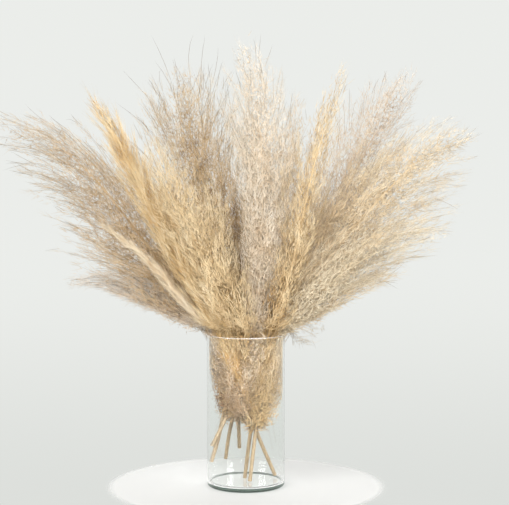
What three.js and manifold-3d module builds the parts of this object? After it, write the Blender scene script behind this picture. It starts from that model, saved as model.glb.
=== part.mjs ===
// A bundle of dried pampas grass standing in a clear glass cylinder vase.
// Millimetres, +Z up. The origin is the centre of the vase's underside, and the front is -Y.
// Each stem with its plume is one solid: a straw culm that runs on as the plume's axis, a slim
// ridged core, and locks of awned spikelets that stand out of it to the plume's full width.

import * as THREE from 'three';
import { mergeVertices } from 'three/addons/utils/BufferGeometryUtils.js';
import Module from 'manifold-3d';

// Driving dimensions of the vase.
const VASE_HEIGHT = 235;
const VASE_RADIUS = 60;
const WALL = 3;
const BASE_THICKNESS = 7;
const FOOT_ROUND = 5;
const RIM_ROUND = 1;
const VASE_SIDES = 48;
const INNER_RADIUS = VASE_RADIUS - WALL;

// Driving dimensions of the grass.
const CULM_RADIUS = 3;
const TIP_RADIUS = 0.7;
const CORE_SHARE = 0.55;
const CORE_AT_RIM = 7;
const CORE_SPREAD = 0.17;
const CORE_SIDES = 6;
const CORE_GROOVE = 0.3;
const STEPS_PER_SPAN = 3;
const RIM_STOP = 2;
const LOCK_SIDES = 3;
const LOCK_ROOT_RADIUS = 4.4;
const LOCK_MID_RADIUS = 3.6;
const LOCK_SINK = 2.4;
const LOCK_LENGTH = 36;
const LOCK_LENGTH_SHARE = 0.55;
const LOCKED_SHARE = 0.97;
const TIP_AHEAD = 0.12;
const FULL_GIRTH_WIDTH = 40;

// Clear distances: what leans on the glass or on its neighbour stays this far from it.
const SEAT_GAP = 0.3;
const RIM_GAP = 0.6;
const STEM_GAP = 0.35;
const LOCK_GAP = 0.4;
const SETTLE_ROUNDS = 160;
const RIM_TESTS = 6;
const GLASS_TESTS = 8;
const HALVINGS = 5;
const SPREADS = [1, 0.8, 0.6, 0.42, 0.28];
const TURNS = [0, 0.7, -0.7, 1.5, -1.5];
const FINEST_DETAIL = 0.3;
const GOLDEN_ANGLE = Math.PI * (3 - Math.sqrt(5));

// The stems, each as the points that its culm and plume axis pass through: its cut foot, the waist
// where the stems cross, the rim, then the plume's bow up to its tip. bare is the length of culm
// below the fluff, width the plume's half width, fan the place of its widest stretch (lower is nearer
// the tip), locks their number, and lean the way that they fall.
const STEMS = [
  {
    name: 'far_left_grey', tone: 'grey_beige', bare: 16, width: 64, fan: 0.62, locks: 27, lean: [-10, 0, -26],
    route: [[-4, -8, 98], [-9, -4, 118], [-44, 16, 235], [-95, 20, 310], [-165, 25, 415], [-235, 30, 500],
      [-305, 35, 550], [-375, 40, 565]],
  },
  {
    name: 'low_left_pink', tone: 'pink_beige', bare: 16, width: 38, fan: 0.6, locks: 20, lean: [-8, 0, -6],
    route: [[4, -16, 96], [-4, -14, 118], [-47, -4, 235], [-95, 10, 262], [-150, 25, 290], [-215, 40, 308],
      [-285, 60, 300]],
  },
  {
    name: 'tall_left_gold', tone: 'gold', bare: 96, width: 28, fan: 0.5, locks: 22, lean: [10, 0, 4],
    route: [[46, 24, 10.5], [4, 2, 112], [-31, -35, 235], [-60, -45, 290], [-108, -60, 375],
      [-150, -80, 455], [-188, -95, 530], [-224, -110, 595]],
  },
  {
    name: 'front_left_tan', tone: 'yellow_tan', bare: 66, width: 46, fan: 0.7, locks: 24, lean: [22, -4, 16],
    route: [[-11, 53, 48], [-12, 28, 112], [-12, -43, 235], [-45, -70, 310], [-75, -95, 385],
      [-110, -125, 455], [-135, -150, 530]],
  },
  {
    name: 'left_spike', tone: 'pale_straw', bare: 110, width: 11, fan: 0.5, locks: 13, lean: [0, 0, 3],
    route: [[10, -22, 98], [0, -21, 118], [-42, -23, 235], [-90, -40, 285], [-145, -60, 350],
      [-210, -80, 405]],
  },
  {
    name: 'back_left_brown', tone: 'grey_brown', bare: 70, width: 60, fan: 0.95, locks: 27, lean: [0, 0, 10],
    route: [[-53, -8, 38], [-30, 2, 112], [-8, 22, 235], [-30, 55, 330], [-50, 90, 425], [-80, 120, 520],
      [-100, 160, 645]],
  },
  {
    name: 'centre_pale', tone: 'pale_pink', bare: 80, width: 60, fan: 0.62, locks: 30, lean: [0, -4, 8],
    route: [[-33, 43, 33], [-21, 10, 112], [15, -28, 235], [20, -45, 320], [25, -65, 410], [25, -85, 515],
      [15, -105, 600], [0, -120, 670]],
  },
  {
    name: 'back_centre_grey', tone: 'grey_beige', bare: 52, width: 36, fan: 0.6, locks: 20, lean: [0, 0, 6],
    route: [[-51, -17, 64], [-30, -8, 112], [4, 46, 235], [50, 70, 330], [65, 95, 440], [75, 115, 535],
      [85, 130, 600]],
  },
  {
    name: 'right_centre_tan', tone: 'yellow_tan', bare: 104, width: 27, fan: 0.6, locks: 22, lean: [4, 0, 10],
    route: [[-2, 14, 8.2], [11, -8, 112], [33, -33, 235], [65, -50, 315], [85, -65, 395], [100, -80, 480],
      [120, -95, 560], [140, -110, 625]],
  },
  {
    name: 'tall_right_pink', tone: 'pink_beige', bare: 18, width: 42, fan: 0.62, locks: 23, lean: [6, 0, 4],
    route: [[-8, 14, 98], [2, 16, 118], [26, 42, 235], [85, 55, 300], [130, 70, 385], [175, 90, 470],
      [220, 105, 560], [265, 120, 635]],
  },
  {
    name: 'right_cream', tone: 'cream', bare: 106, width: 56, fan: 0.62, locks: 25, lean: [8, 0, -14],
    route: [[6, -9, 7.9], [19, -3, 112], [47, 8, 235], [100, 5, 300], [160, 0, 370], [230, -5, 450],
      [290, -5, 510], [340, -10, 545]],
  },
  {
    name: 'low_right_cream', tone: 'cream', bare: 20, width: 52, fan: 0.6, locks: 23, lean: [8, 0, -14],
    route: [[16, -18, 94], [24, -16, 118], [46, -12, 235], [105, -35, 290], [165, -55, 335], [230, -75, 370],
      [290, -95, 385]],
  },
  {
    name: 'lowest_right_pale', tone: 'pale_pink', bare: 18, width: 42, fan: 0.55, locks: 20,
    lean: [4, 0, -10],
    route: [[12, 8, 96], [18, 12, 118], [38, 27, 235], [90, 30, 255], [130, 35, 275], [185, 40, 295],
      [250, 45, 305]],
  },
  {
    name: 'back_brown', tone: 'grey_brown', bare: 16, width: 46, fan: 0.62, locks: 22, lean: [0, 8, -6],
    route: [[6, 22, 100], [4, 28, 118], [-16, 44, 235], [0, 85, 295], [5, 145, 390], [10, 200, 490],
      [5, 260, 590]],
  },
  {
    name: 'back_left_grey', tone: 'grey_beige', bare: 16, width: 50, fan: 0.62, locks: 22, lean: [-6, 8, -6],
    route: [[4, 8, 102], [0, 8, 118], [-33, 33, 235], [-40, 75, 295], [-85, 125, 365], [-125, 170, 430],
      [-165, 210, 490]],
  },
];

const GLASS_COLOUR = 0xdfeeea;
const TONES = {
  grey_beige: 0xc4b6a0,
  grey_brown: 0xb39b7c,
  pink_beige: 0xcdb6a0,
  pale_pink: 0xd6c3ae,
  gold: 0xd0a565,
  yellow_tan: 0xcdaa74,
  pale_straw: 0xdcc79c,
  cream: 0xdbc6a2,
};

// A start for the cross directions of an axis; no axis runs along it.
const ANY_SIDE = new THREE.Vector3(0.3, 0.9, 0.1);

const wasm = await Module();
wasm.setup();

// A repeatable draw between 0 and 1 for lock k of stem i.
function draw(k, i) {
  const raw = Math.sin(k * 12.9898 + i * 78.233) * 43758.5453;
  return raw - Math.floor(raw);
}

// How far the fluff swells, from 0 at both ends of the plume to 1 where it is widest.
function swell(v, fan) {
  return Math.sin(Math.PI * Math.min(Math.max(v, 0), 1) ** fan) ** 0.8;
}

// A stem's axis as a chain of points, with the distance run and the solid's radius at each.
function layOut(stem) {
  const curve = new THREE.CatmullRomCurve3(stem.route.map((p) => new THREE.Vector3(...p)));
  const steps = STEPS_PER_SPAN * (stem.route.length - 1);
  const points = curve.getPoints(steps);
  const run = [0];
  for (let j = 1; j <= steps; j++) {
    run.push(run[j - 1] + points[j].distanceTo(points[j - 1]));
  }
  const rimRun = run[STEPS_PER_SPAN * RIM_STOP];
  const radii = run.map((s) => {
    const v = (s - stem.bare) / (run[steps] - stem.bare);
    const culm = v < 0 ? CULM_RADIUS : THREE.MathUtils.lerp(CULM_RADIUS, TIP_RADIUS, v);
    const room = CORE_AT_RIM + CORE_SPREAD * (s - rimRun);
    const rise = Math.max(s - stem.bare, 0) / (rimRun - stem.bare);
    const early = THREE.MathUtils.lerp(culm, CORE_AT_RIM, rise);
    const core = CORE_SHARE * stem.width * swell(v, stem.fan);
    return Math.max(culm, Math.min(core, s < rimRun ? early : room));
  });
  return { stem, points, run, radii };
}

// The nearest points of two segments, as shares of their lengths, and the way from one to the other.
function nearest(a, b, c, d) {
  const u = b.clone().sub(a);
  const w = d.clone().sub(c);
  const r = a.clone().sub(c);
  const uu = u.dot(u);
  const ww = w.dot(w);
  const uw = u.dot(w);
  const ur = u.dot(r);
  const wr = w.dot(r);
  const cross = uu * ww - uw * uw;
  let s = cross > 1e-9 ? THREE.MathUtils.clamp((uw * wr - ur * ww) / cross, 0, 1) : 0.5;
  const t = THREE.MathUtils.clamp((uw * s + wr) / ww, 0, 1);
  s = THREE.MathUtils.clamp((uw * t - ur) / uu, 0, 1);
  const way = r.addScaledVector(u, s).addScaledVector(w, -t);
  return { s, t, way };
}

// Keeps a chain's points inside the glass, as stems that lean on the wall do.
function keepInGlass(axis) {
  axis.points.forEach((p, j) => {
    const room = INNER_RADIUS - axis.radii[j] - SEAT_GAP;
    const out = Math.hypot(p.x, p.y);
    if (p.z < VASE_HEIGHT && out > room) {
      p.x *= room / out;
      p.y *= room / out;
    }
  });
}

// Lifts a chain clear of the rim that it hangs out over.
function liftOverRim(axis) {
  const rimMiddle = VASE_RADIUS - WALL / 2;
  for (let j = 0; j + 1 < axis.points.length; j++) {
    for (let step = 0; step <= RIM_TESTS; step++) {
      const share = step / RIM_TESTS;
      const p = axis.points[j].clone().lerp(axis.points[j + 1], share);
      const onRim = new THREE.Vector3(p.x, p.y, 0).setLength(rimMiddle).setZ(VASE_HEIGHT - WALL / 2);
      const way = p.clone().sub(onRim);
      const gap = way.length();
      const need = THREE.MathUtils.lerp(axis.radii[j], axis.radii[j + 1], share) + WALL / 2 + RIM_GAP;
      if (gap < need) {
        way.multiplyScalar((need - gap) / gap);
        axis.points[j].addScaledVector(way, 1 - share);
        axis.points[j + 1].addScaledVector(way, share);
      }
    }
  }
}

// Pushes crowded stems apart, a little each round, until each lies clear beside its neighbours.
function settle(axes) {
  for (let round = 0; round < SETTLE_ROUNDS; round++) {
    const pushes = axes.map((axis) => axis.points.map(() => new THREE.Vector3()));
    for (let a = 0; a < axes.length; a++) {
      for (let b = a + 1; b < axes.length; b++) {
        pushApart(axes[a], axes[b], pushes[a], pushes[b]);
      }
    }
    axes.forEach((axis, a) => {
      const eased = ease(ease(pushes[a]));
      axis.points.forEach((p, j) => p.add(eased[j]));
      liftOverRim(axis);
      keepInGlass(axis);
    });
  }
}

// Shares each push with the points before and after it, so that a stem bends and doesn't kink.
function ease(pushes) {
  return pushes.map((push, j) => {
    const before = pushes[Math.max(j - 1, 0)];
    const after = pushes[Math.min(j + 1, pushes.length - 1)];
    return push.clone().multiplyScalar(0.5).addScaledVector(before, 0.25).addScaledVector(after, 0.25);
  });
}

// Adds to the pushes of two chains wherever they come nearer than their radii and the gap.
function pushApart(first, second, firstPush, secondPush) {
  for (let i = 0; i + 1 < first.points.length; i++) {
    for (let j = 0; j + 1 < second.points.length; j++) {
      const [a, b] = [first.points[i], first.points[i + 1]];
      const [c, d] = [second.points[j], second.points[j + 1]];
      const { s, t, way } = nearest(a, b, c, d);
      const need = THREE.MathUtils.lerp(first.radii[i], first.radii[i + 1], s)
        + THREE.MathUtils.lerp(second.radii[j], second.radii[j + 1], t) + STEM_GAP;
      const gap = way.length();
      if (gap < need && gap > 1e-6) {
        way.multiplyScalar((0.5 * (need - gap)) / gap);
        firstPush[i].addScaledVector(way, 1 - s);
        firstPush[i + 1].addScaledVector(way, s);
        secondPush[j].addScaledVector(way, t - 1);
        secondPush[j + 1].addScaledVector(way, -t);
      }
    }
  }
}

// Bends a unit cylinder or cone, whose height is 1, along a chain of points.
function bendAlong(straight, points, radiusAt) {
  const rings = points.length - 1;
  const frames = [];
  let side = ANY_SIDE;
  for (let j = 0; j <= rings; j++) {
    const ahead = points[Math.min(j + 1, rings)].clone().sub(points[Math.max(j - 1, 0)]).normalize();
    side = side.clone().addScaledVector(ahead, -side.dot(ahead)).normalize();
    frames.push({ side, over: side.clone().cross(ahead) });
  }
  const position = straight.getAttribute('position');
  for (let n = 0; n < position.count; n++) {
    const j = Math.round((position.getY(n) + 0.5) * rings);
    const x = position.getX(n);
    const z = position.getZ(n);
    const angle = Math.atan2(z, x);
    const radius = Math.hypot(x, z) < 1e-6 ? 0 : radiusAt(j, angle);
    const at = points[j].clone()
      .addScaledVector(frames[j].side, radius * Math.cos(angle))
      .addScaledVector(frames[j].over, radius * Math.sin(angle));
    position.setXYZ(n, at.x, at.y, at.z);
  }
  return straight;
}

// The culm and the ridged core of its plume, one closed tube.
function stalkGeometry(axis) {
  const rings = axis.points.length - 1;
  const straight = new THREE.CylinderGeometry(1, 1, 1, CORE_SIDES, rings);
  const bareRings = axis.run.findIndex((s) => s > axis.stem.bare);
  return bendAlong(straight, axis.points, (j, angle) => {
    const rib = Math.round((angle / Math.PI) * (CORE_SIDES / 2));
    const grooved = j > bareRings && j < rings && (rib + j) % 2 !== 0;
    return axis.radii[j] * (grooved ? 1 - CORE_GROOVE : 1);
  });
}

function lockGeometry(lock) {
  const straight = new THREE.ConeGeometry(1, 1, LOCK_SIDES, 2);
  return bendAlong(straight, lock.points, (j) => lock.radii[j]);
}

// The point, heading and radius of an axis at the distance s along it.
function stationAt(axis, s) {
  let j = axis.run.findIndex((r) => r >= s);
  j = Math.max(j, 1);
  const share = (s - axis.run[j - 1]) / (axis.run[j] - axis.run[j - 1]);
  const point = axis.points[j - 1].clone().lerp(axis.points[j], share);
  const ahead = axis.points[j].clone().sub(axis.points[j - 1]).normalize();
  return { point, ahead, radius: THREE.MathUtils.lerp(axis.radii[j - 1], axis.radii[j], share) };
}

// Lock k of a plume: it leaves the core along the stem, then arches out and falls to its own side.
function shapeLock(axis, k, i, turn, spread) {
  const { stem, run } = axis;
  const headLength = run[run.length - 1] - stem.bare;
  const v = (k + 0.5) / stem.locks;
  const { point, ahead, radius } = stationAt(axis, stem.bare + v * LOCKED_SHARE * headLength);
  const side = ANY_SIDE.clone();
  side.addScaledVector(ahead, -side.dot(ahead)).normalize();
  const over = side.clone().cross(ahead);
  const angle = k * GOLDEN_ANGLE + i + turn;
  const outward = side.multiplyScalar(Math.cos(angle)).addScaledVector(over, Math.sin(angle));
  const fullness = swell(Math.min(v + TIP_AHEAD, 1), stem.fan);
  const reach = spread * stem.width * THREE.MathUtils.lerp(0.25, 1, fullness) * (0.85 + 0.3 * draw(k, i));
  const length = (LOCK_LENGTH + LOCK_LENGTH_SHARE * stem.width) * (0.8 + 0.4 * draw(k + 0.5, i));
  const fall = new THREE.Vector3(...stem.lean);
  fall.multiplyScalar(spread * THREE.MathUtils.lerp(0.3, 1, fullness));
  const root = point.clone().addScaledVector(outward, Math.max(radius - LOCK_SINK, 0) * 0.6);
  const middle = point.clone().addScaledVector(ahead, 0.5 * length)
    .addScaledVector(outward, Math.max(radius * 0.9, 0.5 * reach)).addScaledVector(fall, 0.3);
  const tip = point.clone().addScaledVector(ahead, length).addScaledVector(outward, reach).add(fall);
  const girth = 0.5 + 0.5 * Math.min(stem.width / FULL_GIRTH_WIDTH, 1);
  return { points: [root, middle, tip], radii: [girth * LOCK_ROOT_RADIUS, girth * LOCK_MID_RADIUS, 0] };
}

// Whether any part of the lock comes too near to the wall of the vase.
function meetsGlass(lock) {
  for (let part = 0; part < 2; part++) {
    for (let step = 0; step <= GLASS_TESTS; step++) {
      const share = step / GLASS_TESTS;
      const p = lock.points[part].clone().lerp(lock.points[part + 1], share);
      const room = THREE.MathUtils.lerp(lock.radii[part], lock.radii[part + 1], share) + LOCK_GAP;
      const out = Math.hypot(p.x, p.y);
      const beside = out > INNER_RADIUS - room && out < VASE_RADIUS + room;
      if (beside && p.z < VASE_HEIGHT + room) {
        return true;
      }
    }
  }
  return false;
}

// The tapered bars that stand for a solid's stalk or for one of its locks.
function barsOf({ points, radii }) {
  return points.slice(1).map((end, j) => ({ start: points[j], end, radii: [radii[j], radii[j + 1]] }));
}

function meetsBar(bar, other) {
  const { s, t, way } = nearest(bar.start, bar.end, other.start, other.end);
  const need = THREE.MathUtils.lerp(...bar.radii, s) + THREE.MathUtils.lerp(...other.radii, t);
  return way.length() < need + LOCK_GAP;
}

// Lock k of stem i at the widest spread that keeps it clear of the glass and of the other plumes,
// so that crowded locks rest against what is beside them.
function fitLock(axis, k, i, others) {
  const isClear = (lock) => {
    const own = barsOf(lock);
    return !meetsGlass(lock) && !others.some((bar) => own.some((part) => meetsBar(part, bar)));
  };
  for (let n = 0; n < SPREADS.length; n++) {
    for (const turn of TURNS) {
      let clear = shapeLock(axis, k, i, turn, SPREADS[n]);
      if (isClear(clear)) {
        let [low, high] = [SPREADS[n], SPREADS[Math.max(n - 1, 0)]];
        for (let halving = 0; halving < HALVINGS; halving++) {
          const wider = shapeLock(axis, k, i, turn, (low + high) / 2);
          const fits = isClear(wider);
          clear = fits ? wider : clear;
          low = fits ? (low + high) / 2 : low;
          high = fits ? high : (low + high) / 2;
        }
        return clear;
      }
    }
  }
  return null;
}

// Sets the locks of all plumes in turn, each bent clear of what stands there already.
function setLocks(axes) {
  const bars = axes.map(barsOf);
  const locks = axes.map(() => []);
  const most = Math.max(...STEMS.map((stem) => stem.locks));
  for (let k = 0; k < most; k++) {
    axes.forEach((axis, i) => {
      const others = bars.filter((_, b) => b !== i).flat();
      const lock = k < axis.stem.locks ? fitLock(axis, k, i, others) : null;
      if (lock) {
        locks[i].push(lock);
        bars[i].push(...barsOf(lock));
      }
    });
  }
  return locks;
}

// A closed geometry as a solid that can be joined.
function solidOf(geometry) {
  geometry.deleteAttribute('normal');
  geometry.deleteAttribute('uv');
  const merged = mergeVertices(geometry, 1e-4);
  const vertProperties = Float32Array.from(merged.getAttribute('position').array);
  const triVerts = Uint32Array.from(merged.getIndex().array);
  return new wasm.Manifold(new wasm.Mesh({ numProp: 3, vertProperties, triVerts }));
}

// The outer shell of a join: where locks close round a hollow, the hollow is filled.
function outerShell(mesh) {
  const lowest = Array.from({ length: mesh.vertProperties.length / 3 }, (_, n) => n);
  const find = (n) => {
    while (lowest[n] !== n) {
      n = lowest[n] = lowest[lowest[n]];
    }
    return n;
  };
  for (let n = 0; n < mesh.triVerts.length; n += 3) {
    const [a, b, c] = mesh.triVerts.slice(n, n + 3);
    lowest[find(b)] = find(a);
    lowest[find(c)] = find(a);
  }
  const sizes = new Map();
  mesh.triVerts.forEach((n) => sizes.set(find(n), (sizes.get(find(n)) ?? 0) + 1));
  const shell = [...sizes].sort((first, second) => second[1] - first[1])[0][0];
  return mesh.triVerts.filter((n) => find(n) === shell);
}

function geometryOf(solid) {
  const mesh = solid.getMesh();
  const geometry = new THREE.BufferGeometry();
  geometry.setAttribute('position', new THREE.BufferAttribute(Float32Array.from(mesh.vertProperties), 3));
  geometry.setIndex(new THREE.BufferAttribute(outerShell(mesh), 1));
  geometry.computeVertexNormals();
  return geometry;
}

// The vase: a thick flat base with a rounded foot, a thin straight wall and a rounded rim.
function vaseGeometry() {
  const round = FOOT_ROUND * (1 - Math.SQRT1_2);
  const profile = [
    [0, 0],
    [VASE_RADIUS - FOOT_ROUND, 0],
    [VASE_RADIUS - round, round],
    [VASE_RADIUS, FOOT_ROUND],
    [VASE_RADIUS, VASE_HEIGHT - RIM_ROUND],
    [VASE_RADIUS - RIM_ROUND, VASE_HEIGHT],
    [INNER_RADIUS + RIM_ROUND, VASE_HEIGHT],
    [INNER_RADIUS, VASE_HEIGHT - RIM_ROUND],
    [INNER_RADIUS, BASE_THICKNESS + RIM_ROUND],
    [INNER_RADIUS - RIM_ROUND, BASE_THICKNESS],
    [0, BASE_THICKNESS],
  ];
  const spun = new THREE.LatheGeometry(profile.map(([x, y]) => new THREE.Vector2(x, y)), VASE_SIDES);
  return spun.rotateX(Math.PI / 2);
}

function namedMesh(name, geometry, colour, roughness) {
  const material = new THREE.MeshStandardMaterial({ color: colour, roughness, metalness: 0 });
  const mesh = new THREE.Mesh(geometry, material);
  mesh.name = name;
  return mesh;
}

function plumeMesh(axis, locks) {
  let solid = solidOf(stalkGeometry(axis));
  for (const lock of locks) {
    solid = solid.add(solidOf(lockGeometry(lock)));
  }
  solid = solid.simplify(FINEST_DETAIL);
  return namedMesh(`plume_${axis.stem.name}`, geometryOf(solid), TONES[axis.stem.tone], 0.9);
}

const bundle = new THREE.Group();
bundle.add(namedMesh('vase', geometryOf(solidOf(vaseGeometry())), GLASS_COLOUR, 0.05));

const axes = STEMS.map(layOut);
settle(axes);
const lockSets = setLocks(axes);
axes.forEach((axis, i) => bundle.add(plumeMesh(axis, lockSets[i])));

export default bundle;
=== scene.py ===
"""Dresses a bundle of dried pampas grass in a clear glass cylinder vase.

Every stem follows the axis of its solid, and some heads bow a little off it. Their fluff is
thousands of fine closed hairs, combed along thin curved branches that arch out of the stem.
"""

import logging
import math
from dataclasses import dataclass
from enum import Enum

import bmesh
import bpy
import numpy as np
from mathutils import Matrix, Vector


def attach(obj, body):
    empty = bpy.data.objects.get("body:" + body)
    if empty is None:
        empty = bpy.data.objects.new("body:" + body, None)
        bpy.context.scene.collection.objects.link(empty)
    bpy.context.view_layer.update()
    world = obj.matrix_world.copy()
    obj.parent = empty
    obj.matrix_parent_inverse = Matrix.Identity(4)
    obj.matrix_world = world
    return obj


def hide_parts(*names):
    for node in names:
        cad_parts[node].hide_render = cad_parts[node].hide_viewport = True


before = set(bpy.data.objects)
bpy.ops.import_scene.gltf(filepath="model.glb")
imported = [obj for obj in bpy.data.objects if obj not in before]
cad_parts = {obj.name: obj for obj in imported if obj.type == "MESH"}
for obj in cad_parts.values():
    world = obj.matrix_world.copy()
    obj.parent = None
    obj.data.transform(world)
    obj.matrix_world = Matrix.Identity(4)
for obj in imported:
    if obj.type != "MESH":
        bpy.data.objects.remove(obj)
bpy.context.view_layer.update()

LOG = logging.getLogger("pampas")
MM = 0.001
BODY = "root"
BAKE_MAP = "OFBake"

# The vase and the stalks of the solids, in millimetres
VASE_HEIGHT = 235.0
VASE_RADIUS = 60.0
WALL = 3.0
BASE_THICKNESS = 7.0
INNER_RADIUS = VASE_RADIUS - WALL
CULM_RADIUS = 3.0
TIP_RADIUS = 0.7
CORE_SHARE = 0.55
CORE_AT_RIM = 7.0
CORE_SPREAD = 0.17
SWELL_POWER = 0.8

# How the axes of the solids are laid out and settled, with gaps in millimetres
STEPS_PER_SPAN = 3
RIM_STOP = 2
RIM_GAP = 0.6
SEAT_GAP = 0.3
STEM_GAP = 0.35
SETTLE_ROUNDS = 160
RIM_TESTS = 6

# How the line that the looks follow is smoothed
LINE_POINTS = 240
LINE_ROUNDS = 60
TIP_STRETCH = 6

# The least length to divide by, the welding distance in metres, the bake map's margin, the seed
TINY = 1e-9
WELD = 1e-6
MAP_EDGE = 0.01
FIRST_SEED = 4100

GOLDEN_ANGLE = math.pi * (3 - math.sqrt(5))
# A direction along which no stem runs
ANY_SIDE = np.array([0.3, 0.9, 0.1])

Colour = tuple[float, float, float]
Pair = tuple[float, float]
Point = tuple[float, float, float]


class Tone(Enum):
    """The colour families of dried pampas fluff in the bundle, by material slot."""

    GREY_BEIGE = "grey_beige"
    GREY_BROWN = "grey_brown"
    PINK_BEIGE = "pink_beige"
    PALE_PINK = "pale_pink"
    GOLD = "gold"
    YELLOW_TAN = "yellow_tan"
    PALE_STRAW = "pale_straw"
    CREAM = "cream"


@dataclass(frozen=True)
class StemPlan:
    """One stem of the bundle, as the solids place it, and how its fluff grows.

    Lengths are in millimetres, and a share runs from 0 to 1.

    Attributes:
        name: the name of its plume.
        tone: the colour family of its fluff.
        bare: how much of it is bare culm, from the cut foot up.
        width: the width of the solid's head.
        fan: where that head is widest; a lower number is nearer its start.
        route: from the cut foot through the waist and the rim to the tip.
        girth: the half width of the free fluff where it is widest.
        crown: the share of the plume past which it narrows to its tip.
        hang: how far and which way the outer branches hang.
        fall_from: how far past the rim they begin to hang.
        reach: about how long the branches are.
        thickness: how closely the hairs stand; 1 is usual.
        threads: how many bare threads run on past the branches.
        thread_length: about how long these are.
        spread: how widely the hairs open from their branch, in degrees.
        hair: about how long the hairs are.
        core: how thick the inner down is, as a share of the half width.
        pale: how much paler it is than its colour family; the large values of the low plumes are partly
            their own paler colour and partly painted light that lifts the shade under the bundle.
        below: how far the fluff starts below the end of the bare culm.
        room: the most half width inside the vase.
        mouth: the most half width at the rim.
        flare: how much that grows with each millimetre past the rim.
        bow: how far the middle of the head lies off the solid's line.
        nod: how far its tip does.
        limp: the share of the branches just past the rim that hang limp.
    """

    name: str
    tone: Tone
    bare: float
    width: float
    fan: float
    route: tuple[Point, ...]
    girth: float = 50.0
    crown: float = 0.6
    hang: Point = (0, 0, -10)
    fall_from: float = 30.0
    reach: float = 110.0
    thickness: float = 1.0
    threads: int = 50
    thread_length: float = 26.0
    spread: float = 72.0
    hair: float = 12.5
    core: float = 0.03
    pale: float = 0.0
    below: float = 0.0
    room: float = 34.0
    mouth: float = 25.0
    flare: float = 0.8
    bow: Point = (0, 0, 0)
    nod: Point = (0, 0, 0)
    limp: float = 0.0


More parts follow.
